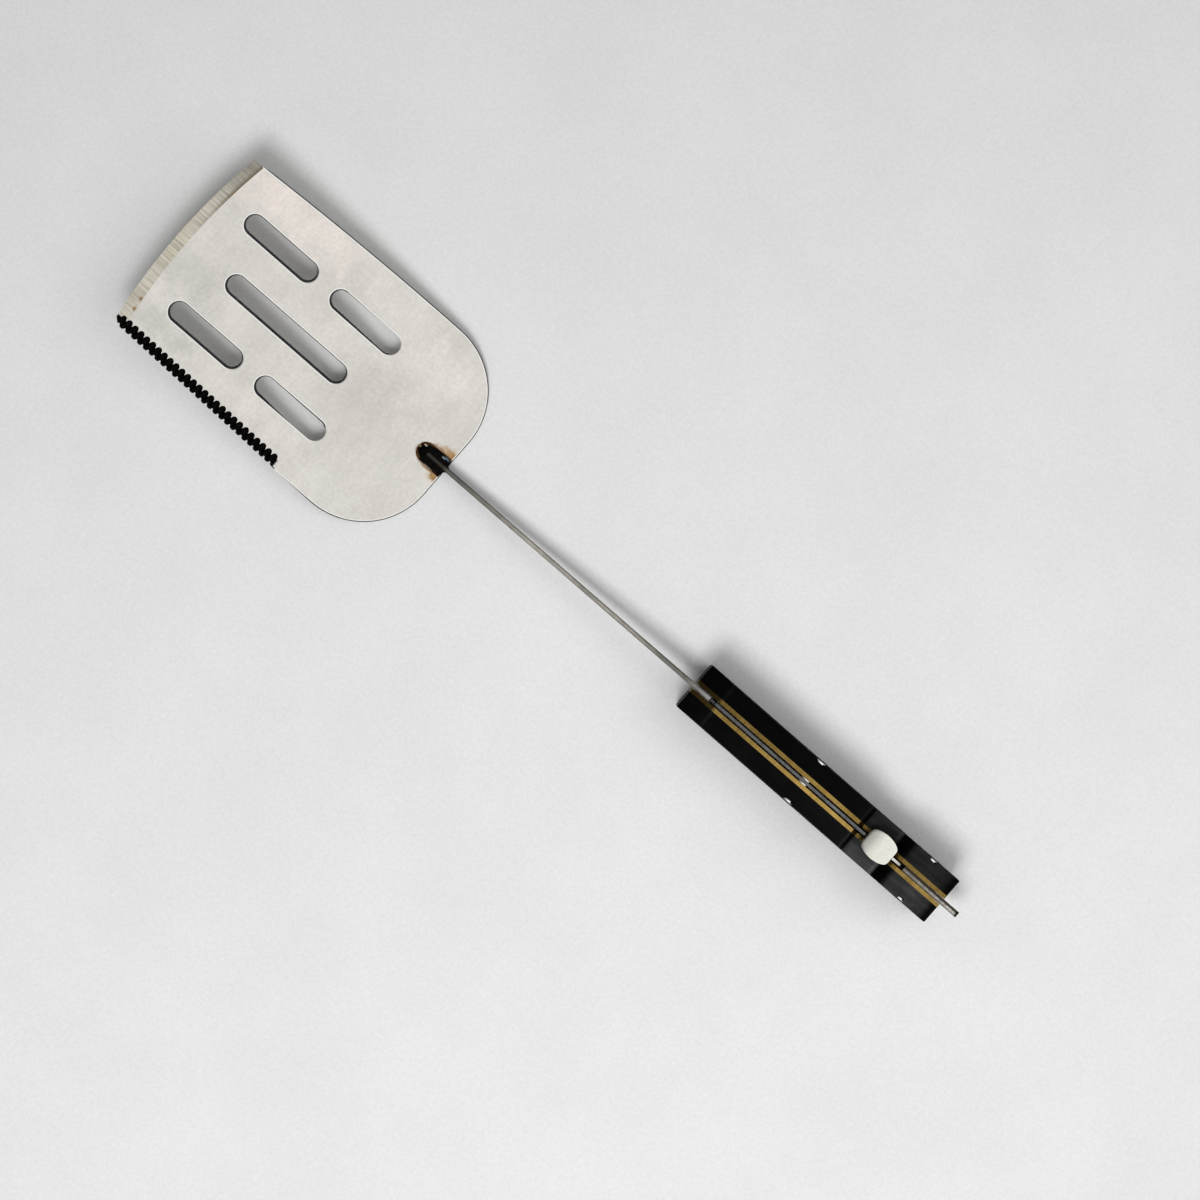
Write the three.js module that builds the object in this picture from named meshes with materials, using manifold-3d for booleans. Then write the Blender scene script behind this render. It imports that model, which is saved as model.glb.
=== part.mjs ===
// Folding barbecue spatula: a slotted, serrated blade welded to a flat shank that folds into
// a handle built like a lock-back pocket knife. Millimetres, +Z up, blade towards -X.
// While it is built, X = 0 is the handle's front face, Y = 0 its middle plane and Z = 0 its belly.
import * as THREE from 'three';
import { mergeVertices } from 'three/addons/utils/BufferGeometryUtils.js';
import Module from 'manifold-3d';

const wasm = await Module();
wasm.setup();

// Handle
const handleLength = 130;
const handleHeight = 28;
const handleWidth = 22;
const handleFrontHeight = 24.6;
const handleRearHeight = 26.2;
const spineRampLength = 11.5;
const bellyFrontRadius = 5;
const bellyRearRadius = 7;
const buttTopRadius = 1.6;
const sideCrown = 0.4;
const spineEdgeRadius = 0.8;
const bellyEdgeRadius = 2;
const planCornerRadius = 1.2;

// Liners and the slot between them
const linerThickness = 1.7;
const slotWidth = 2.65;

// Thumb cut-out in the spine
const cutoutFromButt = 45.6;
const cutoutWallRun = 2.7;
const cutoutDepth = 5.2;
const cutoutFloorLength = 14;
const cutoutFloorDrop = 0.6;
const cutoutRampRun = 6;

// Screwed joints through the handle: a sleeve in the middle and a socket screw from each side
const sleeveRadius = 1.7;
const sleeveWall = 0.6;
const screwClearance = 0.12;
const screwHeadRadius = 2.7;
const screwHeadHeight = 1.4;
const screwSocketRadius = 1.2;
const screwSocketDepth = 0.9;
const screwReach = 1.2;
const headPocketClearance = 0.7;
const headInset = 0.5;
const sleeveFit = 0.05;
const runningFit = 0.1;
const washerSideClearance = 0.03;

// Pivot of the folding shank
const pivotX = 5.5;
const pivotZ = 15;
const tangRadius = 6.5;
const pivotWasherRadius = 5;

// Shank: a flat strip standing on edge
const shankThickness = 2;
const shankLength = 132.9;
const shankRootHeight = 5.6;
const shankHeelHeight = 4.6;
const shankTipHeight = 3.6;
const shankTipLength = 10;
const tangShoulderX = 8;
const tangShoulderDrop = 1.6;
const tangBrowX = 0.5;
const tangBrowDrop = 3;

// Blade: a flat plate tilted up towards its front edge
const bladeLength = 141.2;
const bladeHalfWidth = 45.6;
const bladeFrontHalfWidth = 42.1;
const bladeThickness = 1.5;
const bladeTilt = THREE.MathUtils.degToRad(10);
const bladeRestClearance = 0.1;
const bladeHeelFlat = 28;
const bladeHeelRound = 32;
const bladeFrontBulge = 3.3;
const bevelWidth = 4.8;
const bevelEdgeThickness = 0.4;

// Slots through the blade, in three rows
const slotRadius = 4.6;
const slotRowOffset = 22.9;
const outerFrontSlotLength = 36.3;
const outerRearSlotLength = 35;
const outerFrontSlotStart = 15.9;
const outerSlotBridge = 8.5;
const middleSlotLength = 61.2;
const middleSlotStart = 25.9;

// Serrated side edge
const serrationCount = 27;
const serrationPitch = 3.1;
const serrationFirstCentre = 2.3;
const serrationRadius = 1.5;
const serrationDepth = 5.1;
const serrationNotch = 1;
const serrationLift = 0.3;
const serrationTipStretch = 1.3;
const serrationCornerCut = 2.2;
const serrationRelief = 0.2;
const serrationRunOut = 1.6;
const serrationOverhang = 0.6;

// Weld that fixes the shank's tip to the blade
const weldHalfWidth = 4.4;
const weldHeight = 3;
const weldNose = 4.4;
const weldTail = 0.5;
const weldGap = 0.1;

// Lock bar that rocks on the middle screws
const lockPivotX = 57.4;
const lockPivotDepth = 2.8;
const lockBarThickness = 1.3;
const lockBarTopInset = 0.3;
const lockBarDepth = 6;
const lockBarTailDepth = 7.6;
const lockBossRadius = 5.3;
const lockWasherRadius = 2.6;
const lockNoseGap = 0.3;
const lockNoseLength = 2.2;
const lockToothClearance = 0.45;
const lockToothHeight = 1.8;
const lockTailDrop = 2.8;
const lockTailLength = 4.8;
const lockTailGap = 1.5;
const lockStepGap = 0.5;

// Thumb pad on the lock bar
const padLength = 13.4;
const padWidth = 11.6;
const padEndWidth = 7;
const padThickness = 2.2;
const padCrown = 0.6;
const padEdge = 0.5;
const padSetback = 5.5;
const padRise = 1;
const padTabMargin = 2.2;

// Leaf spring under the lock bar
const springThickness = 1.2;
const springWidth = 1.9;
const springLength = 31;
const springBow = 1.4;
const springSeatDepth = 2;
const springSeatRise = 3.4;
const springFit = 0.1;

// Hanger plate at the butt
const hangerReach = 8.5;
const hangerThickness = 2.1;
const hangerBottom = 11.4;
const hangerTopInset = 0.3;
const hangerTabBottom = 14;
const hangerTabTop = 24;
const hangerCornerRadius = 2;
const hangerHoleRadius = 1.9;
const rearScrewFromButt = 13.8;
const rearScrewDepth = 3.8;
const dowelFromButt = 5;
const dowelZ = 16;
const dowelRadius = 1.5;

// Fineness of round shapes
const arcSegments = 6;
const roundSegments = 24;
const fluteSegments = 12;
const wideArcSegments = 144;
const shapeTolerance = 1e-6;

const scaleThickness = (handleWidth - slotWidth) / 2 - linerThickness;
const linerFace = slotWidth / 2;
const scaleFace = linerFace + linerThickness;
const lockPivotZ = handleHeight - lockPivotDepth;
const rearScrewZ = handleHeight - rearScrewDepth;
const rearScrewX = handleLength - rearScrewFromButt;
const dowelX = handleLength - dowelFromButt;
const cutoutStart = handleLength - cutoutFromButt;
const cutoutFoot = cutoutStart + cutoutWallRun;
const cutoutFloorEnd = cutoutFoot + cutoutFloorLength;
const cutoutEnd = cutoutFloorEnd + cutoutRampRun;
const padStart = cutoutStart + padSetback;
const padEnd = padStart + padLength;
const lockTailEnd = padEnd + lockTailLength;
const hangerFront = lockTailEnd + lockTailGap;
const screwShankRadius = sleeveRadius - sleeveWall - screwClearance;

// Height of the spine at a place behind the cut-out, where it falls towards the butt.
function rearSpineHeight(x) {
  const share = (x - cutoutEnd) / (handleLength - cutoutEnd);
  return handleHeight + share * (handleRearHeight - handleHeight);
}

// Height of the spine on its front ramp.
function frontSpineHeight(x) {
  const share = x / spineRampLength;
  return handleFrontHeight + share * (handleHeight - handleFrontHeight);
}

// A point of the blade's side view: s runs forward from the heel, n up through its thickness.
const bladeHeelX = -shankLength;
const bladeHeelZ = bladeRestClearance;
function onBlade(s, n) {
  const x = bladeHeelX - s * Math.cos(bladeTilt) + n * Math.sin(bladeTilt);
  const z = bladeHeelZ + s * Math.sin(bladeTilt) + n * Math.cos(bladeTilt);
  return { x, z };
}

function finish(color, roughness, metalness) {
  return new THREE.MeshStandardMaterial({ color, roughness, metalness });
}

const brushedSteel = finish(0xd7d0cb, 0.35, 1);
const burntWeld = finish(0x15110e, 0.25, 0.4);
const rawSteel = finish(0x8d847c, 0.45, 0.9);
const darkSteel = finish(0x4a4e55, 0.4, 0.8);
const polishedSteel = finish(0xe6e4df, 0.12, 1);
const springSteel = finish(0x70757c, 0.35, 1);
const brass = finish(0xb18a3e, 0.35, 1);
const blackGrip = finish(0x141515, 0.5, 0);

// Closed solid of a geometry, for cutting and joining.
function solid(geometry) {
  const bare = geometry.clone();
  bare.deleteAttribute('normal');
  bare.deleteAttribute('uv');
  const merged = mergeVertices(bare);
  const vertProperties = new Float32Array(merged.attributes.position.array);
  const triVerts = new Uint32Array(merged.index.array);
  return new wasm.Manifold(new wasm.Mesh({ numProp: 3, vertProperties, triVerts }));
}

// Geometry of a solid after its cuts.
function skin(body) {
  const mesh = body.getMesh();
  const geometry = new THREE.BufferGeometry();
  geometry.setAttribute('position', new THREE.BufferAttribute(mesh.vertProperties, 3));
  geometry.setIndex(new THREE.BufferAttribute(mesh.triVerts, 1));
  geometry.computeVertexNormals();
  return geometry;
}

// Side view outline (x, z) made into a plate of the given thickness, centred on yMiddle.
function sidePlate(outline, thickness, yMiddle) {
  const geometry = new THREE.ExtrudeGeometry(outline, {
    depth: thickness,
    bevelEnabled: false,
    curveSegments: roundSegments / 2,
  });
  geometry.rotateX(Math.PI / 2);
  geometry.translate(0, yMiddle + thickness / 2, 0);
  return geometry;
}

function roundHole(x, z, radius) {
  const hole = new THREE.Path();
  hole.absarc(x, z, radius, 0, Math.PI * 2, true);
  return hole;
}

// Body of revolution about a Y axis through (x, z). Profile points are (radius, y).
function turned(profile, x, z) {
  const points = profile.map(([radius, y]) => new THREE.Vector2(radius, y));
  const geometry = new THREE.LatheGeometry(points, roundSegments);
  geometry.translate(x, 0, z);
  return geometry;
}

function piece(name, geometry, material) {
  const mesh = new THREE.Mesh(geometry, material);
  mesh.name = name;
  return mesh;
}

// Side view of the handle that both liners and both scales share.
function handleOutline() {
  const outline = new THREE.Shape();
  outline.moveTo(bellyFrontRadius, 0);
  outline.lineTo(handleLength - bellyRearRadius, 0);
  outline.absarc(handleLength - bellyRearRadius, bellyRearRadius, bellyRearRadius, -Math.PI / 2, 0, false);
  outline.lineTo(handleLength, handleRearHeight - buttTopRadius);
  outline.quadraticCurveTo(
    handleLength, handleRearHeight,
    handleLength - buttTopRadius, rearSpineHeight(handleLength - buttTopRadius));
  outline.lineTo(cutoutEnd, handleHeight);
  outline.lineTo(cutoutFloorEnd, handleHeight - cutoutDepth - cutoutFloorDrop);
  outline.lineTo(cutoutFoot, handleHeight - cutoutDepth);
  outline.lineTo(cutoutStart, handleHeight);
  outline.lineTo(spineRampLength, handleHeight);
  outline.lineTo(0, handleFrontHeight);
  outline.lineTo(0, bellyFrontRadius);
  outline.absarc(bellyFrontRadius, bellyFrontRadius, bellyFrontRadius, Math.PI, Math.PI * 1.5, false);
  return outline;
}

const stations = [
  { name: 'pivot', x: pivotX, z: pivotZ },
  { name: 'lock', x: lockPivotX, z: lockPivotZ },
  { name: 'rear', x: rearScrewX, z: rearScrewZ },
];

// Left is the serrated side, on the left hand when the blade points away from the user.
const sides = [
  { name: 'left', sign: -1 },
  { name: 'right', sign: 1 },
];

// Brass liners: plates with holes for the three sleeves and the dowel.
function makeLiner(side) {
  const outline = handleOutline();
  for (const station of stations) {
    outline.holes.push(roundHole(station.x, station.z, sleeveRadius + sleeveFit));
  }
  outline.holes.push(roundHole(dowelX, dowelZ, dowelRadius + sleeveFit));
  const geometry = sidePlate(outline, linerThickness, side.sign * (linerFace + linerThickness / 2));
  return piece(`liner_${side.name}`, geometry, brass);
}

// Half-width of the crowned side of the handle at a height.
function crownedHalfWidth(z) {
  const middle = handleHeight / 2;
  const share = (z - middle) / middle;
  return handleWidth / 2 - sideCrown * share * share;
}

// Cross-section of one scale (y, z): flat on the liner, crowned outside, with rounded edges.
function scaleSection() {
  const section = new THREE.Shape();
  const top = handleHeight;
  const crownFrom = bellyEdgeRadius;
  const crownTo = top - spineEdgeRadius;
  section.moveTo(scaleFace, 0);
  section.lineTo(crownedHalfWidth(0) - bellyEdgeRadius, 0);
  section.quadraticCurveTo(crownedHalfWidth(0), 0, crownedHalfWidth(crownFrom), crownFrom);
  for (let step = 1; step <= arcSegments; step += 1) {
    const z = crownFrom + (crownTo - crownFrom) * (step / arcSegments);
    section.lineTo(crownedHalfWidth(z), z);
  }
  section.quadraticCurveTo(crownedHalfWidth(top), top, crownedHalfWidth(top) - spineEdgeRadius, top);
  section.lineTo(scaleFace, top);
  return section;
}

// Plan view outline of one scale (x, y), with its two outer corners rounded.
function scalePlan() {
  const plan = new THREE.Shape();
  const outer = handleWidth / 2;
  plan.moveTo(0, scaleFace);
  plan.lineTo(handleLength, scaleFace);
  plan.lineTo(handleLength, outer - planCornerRadius);
  plan.quadraticCurveTo(handleLength, outer, handleLength - planCornerRadius, outer);
  plan.lineTo(planCornerRadius, outer);
  plan.quadraticCurveTo(0, outer, 0, outer - planCornerRadius);
  return plan;
}

// Black scales: grips with a crowned side and pockets for the screw heads.
function makeScale(side) {
  const outline = handleOutline();
  for (const station of stations) {
    outline.holes.push(roundHole(station.x, station.z, screwShankRadius + screwClearance));
  }
  const slab = solid(sidePlate(outline, scaleThickness, scaleFace + scaleThickness / 2));

  const bar = new THREE.ExtrudeGeometry(scaleSection(), {
    depth: handleLength,
    bevelEnabled: false,
    curveSegments: arcSegments,
  });
  bar.rotateZ(Math.PI / 2);
  bar.rotateY(Math.PI / 2);
  const block = new THREE.ExtrudeGeometry(scalePlan(), {
    depth: handleHeight,
    bevelEnabled: false,
    curveSegments: arcSegments,
  });

  let body = slab.intersect(solid(bar)).intersect(solid(block));
  for (const station of stations) {
    const pocketRadius = screwHeadRadius + headPocketClearance;
    const pocket = new THREE.CylinderGeometry(pocketRadius, pocketRadius, handleWidth, roundSegments);
    pocket.translate(station.x, headSeat() + handleWidth / 2, station.z);
    body = body.subtract(solid(pocket));
  }
  const geometry = skin(body);
  if (side.sign < 0) {
    mirrorY(geometry);
  }
  return piece(`scale_${side.name}`, geometry, blackGrip);
}

// Distance of the screw heads' seat from the middle plane.
function headSeat() {
  return handleWidth / 2 - headInset - screwHeadHeight;
}

// Mirror a geometry across the middle plane and turn its faces out again.
function mirrorY(geometry) {
  geometry.scale(1, -1, 1);
  const corners = geometry.index.array;
  for (let corner = 0; corner < corners.length; corner += 3) {
    const kept = corners[corner + 1];
    corners[corner + 1] = corners[corner + 2];
    corners[corner + 2] = kept;
  }
  geometry.computeVertexNormals();
}

// Threaded sleeve that carries a joint across both liners.
function makeSleeve(station) {
  const half = scaleFace - washerSideClearance;
  const bore = sleeveRadius - sleeveWall;
  const geometry = turned(
    [[bore, -half], [sleeveRadius, -half], [sleeveRadius, half], [bore, half], [bore, -half]],
    station.x, station.z);
  return piece(`${station.name}_sleeve`, geometry, polishedSteel);
}

// Socket screw that clamps a scale and its liner to the sleeve.
function makeScrew(station, side) {
  const seat = headSeat() + washerSideClearance;
  const top = seat + screwHeadHeight;
  const tip = scaleFace - screwReach;
  const chamfer = (screwHeadRadius - screwSocketRadius) / 4;
  const geometry = turned(
    [
      [0, tip],
      [screwShankRadius, tip],
      [screwShankRadius, seat],
      [screwHeadRadius, seat],
      [screwHeadRadius, top - chamfer],
      [screwHeadRadius - chamfer, top],
      [0, top],
    ],
    station.x, station.z);
  const socket = new THREE.CylinderGeometry(screwSocketRadius, screwSocketRadius, 2 * screwSocketDepth, 6);
  socket.translate(station.x, top, station.z);
  const cut = skin(solid(geometry).subtract(solid(socket)));
  if (side.sign < 0) {
    mirrorY(cut);
  }
  return piece(`${station.name}_screw_${side.name}`, cut, polishedSteel);
}

// Thin washer that fills the space between a moving plate and a liner.
function makeWasher(station, side, radius, plateThickness) {
  const inner = plateThickness / 2 + washerSideClearance;
  const outer = linerFace - washerSideClearance;
  const bore = sleeveRadius + sleeveFit;
  const low = Math.min(side.sign * inner, side.sign * outer);
  const high = Math.max(side.sign * inner, side.sign * outer);
  const geometry = turned(
    [[bore, low], [radius, low], [radius, high], [bore, high], [bore, low]],
    station.x, station.z);
  return piece(`${station.name}_washer_${side.name}`, geometry, polishedSteel);
}

// Shank: a strip on edge, with a round tang at its pivot and a tip laid along the blade.
function makeShank() {
  const heelTop = onBlade(0, bladeThickness + weldGap);
  const tipLow = onBlade(shankTipLength, bladeThickness + weldGap);
  const tipHigh = onBlade(shankTipLength, bladeThickness + weldGap + shankTipHeight);
  const shoulderTop = frontSpineHeight(tangShoulderX) - tangShoulderDrop;
  const browTop = frontSpineHeight(tangBrowX) - tangBrowDrop;
  const reach = Math.sqrt(tangRadius ** 2 - (shankRootHeight / 2) ** 2);
  const below = Math.atan2(-shankRootHeight / 2, -reach) + Math.PI * 2;
  const above = Math.atan2(Math.sqrt(tangRadius ** 2 - (tangShoulderX - pivotX) ** 2), tangShoulderX - pivotX);

  const outline = new THREE.Shape();
  outline.moveTo(heelTop.x, heelTop.z);
  outline.lineTo(pivotX - reach, pivotZ - shankRootHeight / 2);
  outline.absarc(pivotX, pivotZ, tangRadius, below, above + Math.PI * 2, false);
  outline.lineTo(tangShoulderX, shoulderTop);
  outline.lineTo(tangBrowX, browTop);
  outline.lineTo(pivotX - 2 * tangRadius, pivotZ + shankRootHeight / 2);
  outline.lineTo(heelTop.x, heelTop.z + shankHeelHeight);
  outline.lineTo(tipHigh.x, tipHigh.z);
  outline.lineTo(tipLow.x, tipLow.z);
  outline.holes.push(roundHole(pivotX, pivotZ, sleeveRadius + runningFit));
  return piece('shank', sidePlate(outline, shankThickness, 0), rawSteel);
}

// Plan view of a slot along X with round ends, from s = start over the given length.
function slotPath(start, length, y) {
  const nearEnd = -(start + slotRadius);
  const farEnd = -(start + length - slotRadius);
  const path = new THREE.Path();
  path.absarc(nearEnd, y, slotRadius, -Math.PI / 2, Math.PI / 2, false);
  path.absarc(farEnd, y, slotRadius, Math.PI / 2, Math.PI * 1.5, false);
  path.closePath();
  return path;
}

// The blade's front edge is an arc; its centre lies on the middle line.
function frontArc() {
  const half = bladeFrontHalfWidth;
  const radius = (half * half + bladeFrontBulge * bladeFrontBulge) / (2 * bladeFrontBulge);
  const centre = -(bladeLength - radius);
  const spread = Math.asin(half / radius);
  return { radius, centre, spread };
}

// Length of the serrated edge from the blade's front corner.
const serratedLength = serrationFirstCentre + serrationPitch * (serrationCount - 0.5);

// Distance of the serrated edge from the middle line, at a place measured from the front corner.
function serratedHalfWidth(fromFront) {
  const front = bladeFrontHalfWidth + serrationOverhang;
  const rear = bladeHalfWidth - serrationRelief;
  return front + (rear - front) * (fromFront / serratedLength);
}

// Plan view of the blade: D-shaped heel, slightly tapering sides and an arched front edge.
function bladeOutline() {
  const { radius, centre, spread } = frontArc();
  const cornerX = -(bladeLength - bladeFrontBulge);
  const heel = bladeHeelFlat / 2;
  const corner = bladeHalfWidth - heel;
  const serratedEnd = cornerX + serratedLength;
  const cornerWidth = serratedHalfWidth(0) - serrationCornerCut;
  const lowSpread = Math.asin(cornerWidth / radius);

  const outline = new THREE.Shape();
  outline.moveTo(0, -heel);
  outline.lineTo(0, heel);
  outline.absellipse(-bladeHeelRound, heel, bladeHeelRound, corner, 0, Math.PI / 2, false, 0);
  outline.quadraticCurveTo((cornerX - bladeHeelRound) / 2, bladeHalfWidth, cornerX, bladeFrontHalfWidth);
  outline.absarc(centre, 0, radius, Math.PI - spread, Math.PI + lowSpread, false);
  outline.lineTo(cornerX + serrationFirstCentre, -serratedHalfWidth(serrationFirstCentre));
  outline.lineTo(serratedEnd, -serratedHalfWidth(serratedLength));
  outline.lineTo(serratedEnd + serrationRunOut, -bladeHalfWidth);
  outline.lineTo(-bladeHeelRound, -bladeHalfWidth);
  outline.absellipse(-bladeHeelRound, -heel, bladeHeelRound, corner, -Math.PI / 2, 0, false, 0);

  const outerRearEnd = bladeLength - outerFrontSlotStart - outerFrontSlotLength - outerSlotBridge;
  const outerFrontEnd = bladeLength - outerFrontSlotStart;
  for (const y of [-slotRowOffset, slotRowOffset]) {
    outline.holes.push(slotPath(outerFrontEnd - outerFrontSlotLength, outerFrontSlotLength, y));
    outline.holes.push(slotPath(outerRearEnd - outerRearSlotLength, outerRearSlotLength, y));
  }
  const middleEnd = bladeLength - middleSlotStart;
  outline.holes.push(slotPath(middleEnd - middleSlotLength, middleSlotLength, 0));
  return outline;
}

// Ring that grinds the bevel along the arched front edge.
function bevelRing() {
  const { radius, centre } = frontArc();
  const lead = 2 * bladeThickness;
  const slope = (bladeThickness - bevelEdgeThickness) / bevelWidth;
  const profile = [
    new THREE.Vector2(radius - bevelWidth, bladeThickness),
    new THREE.Vector2(radius + lead, bevelEdgeThickness - lead * slope),
    new THREE.Vector2(radius + lead, bladeThickness + lead),
    new THREE.Vector2(radius - bevelWidth, bladeThickness + lead),
    new THREE.Vector2(radius - bevelWidth, bladeThickness),
  ];
  const ring = new THREE.LatheGeometry(profile, wideArcSegments);
  ring.rotateX(Math.PI / 2);
  ring.translate(centre, 0, 0);
  return ring;
}

// One flute of the serrated edge: a ball-ended cutter that runs out through the edge, a little deeper
// towards its outside.
function serrationCutter(index) {
  const fromFront = serrationFirstCentre + serrationPitch * index;
  const tip = serrationTipStretch * Math.sqrt(serrationRadius ** 2 - serrationLift ** 2);
  const ballFromEdge = serrationDepth - tip;
  const deeper = bladeThickness - (serrationRadius - serrationLift);
  const slope = Math.atan2(deeper, ballFromEdge - serrationNotch);
  const reach = 2 * serrationDepth;
  const cutter = new THREE.SphereGeometry(serrationRadius, fluteSegments, fluteSegments / 2);
  const places = cutter.attributes.position;
  for (let corner = 0; corner < places.count; corner += 1) {
    const along = places.getY(corner);
    if (along < -shapeTolerance) {
      places.setY(corner, along - reach);
    } else {
      places.setY(corner, along * serrationTipStretch);
    }
  }
  cutter.rotateX(slope);
  cutter.translate(
    -(bladeLength - bladeFrontBulge) + fromFront,
    ballFromEdge - serratedHalfWidth(fromFront),
    bladeThickness + serrationLift);
  return cutter;
}

// Blade plate, lying flat with its heel at the origin and its front towards -X.
function makeBlade() {
  const plate = new THREE.ExtrudeGeometry(bladeOutline(), {
    depth: bladeThickness,
    bevelEnabled: false,
    curveSegments: 2 * arcSegments,
  });
  let body = solid(plate).subtract(solid(bevelRing()));
  for (let index = 0; index < serrationCount; index += 1) {
    body = body.subtract(solid(serrationCutter(index)));
  }
  return piece('blade', skin(body), brushedSteel);
}

// Weld bead: a low round-nosed mound on the blade round the shank's tip, split by the shank.
function makeWeld() {
  const length = shankTipLength + weldNose;
  const mound = new THREE.CapsuleGeometry(weldHalfWidth, 2 * length, arcSegments, roundSegments);
  mound.rotateZ(Math.PI / 2);
  mound.scale(1, 1, weldHeight / weldHalfWidth);
  mound.translate(weldHalfWidth, 0, bladeThickness + weldGap);

  const above = new THREE.BoxGeometry(length + weldTail, 4 * weldHalfWidth, 2 * weldHeight);
  above.translate((weldTail - length) / 2, 0, bladeThickness + weldGap + weldHeight);
  const strip = new THREE.BoxGeometry(2 * length, shankThickness + 2 * weldGap, 8 * weldHeight);
  strip.translate(length - shankTipLength - weldGap, 0, 0);
  const body = solid(mound).intersect(solid(above)).subtract(solid(strip));
  return piece('weld_bead', skin(body), burntWeld);
}

// Lock bar: a rocker whose nose stops the tang and whose tail carries the thumb pad.
function makeLockBar() {
  const top = handleHeight - lockBarTopInset;
  const bottom = top - lockBarDepth;
  const tailBottom = top - lockBarTailDepth;
  const toothFront = tangShoulderX + lockNoseGap;
  const toothBottom = pivotZ + Math.sqrt((tangRadius + lockToothClearance) ** 2 - (toothFront - pivotX) ** 2);
  const noseFront = toothFront + lockNoseLength;
  const tabFrom = padStart + padTabMargin;
  const tabTo = padEnd - padTabMargin;
  const tailTop = top - lockTailDrop;
  const padSeat = padBottom() - weldGap;
  const bossReach = Math.sqrt(lockBossRadius ** 2 - (lockPivotZ - bottom) ** 2);
  const tailReach = Math.sqrt(lockBossRadius ** 2 - (lockPivotZ - tailBottom) ** 2);
  const bossFrom = Math.atan2(bottom - lockPivotZ, -bossReach) + Math.PI * 2;
  const bossTo = Math.atan2(tailBottom - lockPivotZ, tailReach) + Math.PI * 2;

  const outline = new THREE.Shape();
  outline.moveTo(toothFront, toothBottom);
  outline.lineTo(noseFront + lockNoseLength, toothBottom);
  outline.lineTo(noseFront + 2 * lockNoseLength, bottom);
  outline.lineTo(lockPivotX - bossReach, bottom);
  outline.absarc(lockPivotX, lockPivotZ, lockBossRadius, bossFrom, bossTo, false);
  outline.lineTo(lockTailEnd, tailBottom);
  outline.lineTo(lockTailEnd, tailTop);
  outline.lineTo(tabTo, tailTop);
  outline.lineTo(tabTo, padSeat);
  outline.lineTo(tabFrom, padSeat);
  outline.lineTo(tabFrom, tailTop);
  outline.lineTo(padStart - lockStepGap, tailTop);
  outline.lineTo(padStart - lockStepGap, top);
  outline.lineTo(spineRampLength, top);
  outline.lineTo(noseFront, frontSpineHeight(noseFront) - lockBarTopInset);
  outline.lineTo(noseFront, toothBottom + lockToothHeight);
  outline.lineTo(toothFront, toothBottom + lockToothHeight);
  outline.holes.push(roundHole(lockPivotX, lockPivotZ, sleeveRadius + runningFit));
  return piece('lock_bar', sidePlate(outline, lockBarThickness, 0), darkSteel);
}

// Underside of the thumb pad.
function padBottom() {
  return handleHeight - padRise;
}

// Thumb pad: a barrel-shaped button with straight ends, bulging sides and a crowned top.
function makeThumbPad() {
  const halfLength = padLength / 2 - padEdge;
  const halfEnd = padEndWidth / 2;
  const halfWidth = padWidth / 2 - padEdge;
  const bulge = 2 * halfWidth - halfEnd;
  const outline = new THREE.Shape();
  outline.moveTo(-halfLength, -halfEnd);
  outline.quadraticCurveTo(0, -bulge, halfLength, -halfEnd);
  outline.lineTo(halfLength, halfEnd);
  outline.quadraticCurveTo(0, bulge, -halfLength, halfEnd);
  const block = new THREE.ExtrudeGeometry(outline, {
    depth: padThickness + padCrown - 2 * padEdge,
    bevelEnabled: true,
    bevelThickness: padEdge,
    bevelSize: padEdge,
    bevelSegments: 2,
    curveSegments: 2 * arcSegments,
  });
  block.translate(0, 0, padEdge);

  const crownRadius = (padLength * padLength / 4 + padCrown * padCrown) / (2 * padCrown);
  const crown = new THREE.CylinderGeometry(crownRadius, crownRadius, 2 * padWidth, wideArcSegments);
  crown.translate(0, 0, padThickness + padCrown - crownRadius);
  const body = solid(block).intersect(solid(crown));
  const geometry = skin(body);
  geometry.translate(padStart + padLength / 2, 0, padBottom());
  return piece('thumb_pad', geometry, polishedSteel);
}

// Underside of the lock bar's tail, which the spring pushes up.
const tailUnderside = handleHeight - lockBarTopInset - lockBarTailDepth;

// Leaf spring: seated in the hanger plate, with its free end under the lock bar's tail.
function makeSpring() {
  const rear = hangerFront + springSeatDepth - springFit;
  const front = hangerFront - springLength;
  const seat = hangerBottom + springSeatRise;
  const lift = tailUnderside - springFit - springThickness;
  const middle = (hangerFront + front) / 2;
  const outline = new THREE.Shape();
  outline.moveTo(rear, seat);
  outline.lineTo(rear, seat + springThickness);
  outline.lineTo(hangerFront - springThickness, seat + springThickness);
  outline.quadraticCurveTo(middle, seat + springThickness + springBow, front, lift + springThickness);
  outline.lineTo(front, lift);
  outline.quadraticCurveTo(middle, seat + springBow, hangerFront - springThickness, seat);
  return piece('lock_spring', sidePlate(outline, springWidth, 0), springSteel);
}

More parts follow.
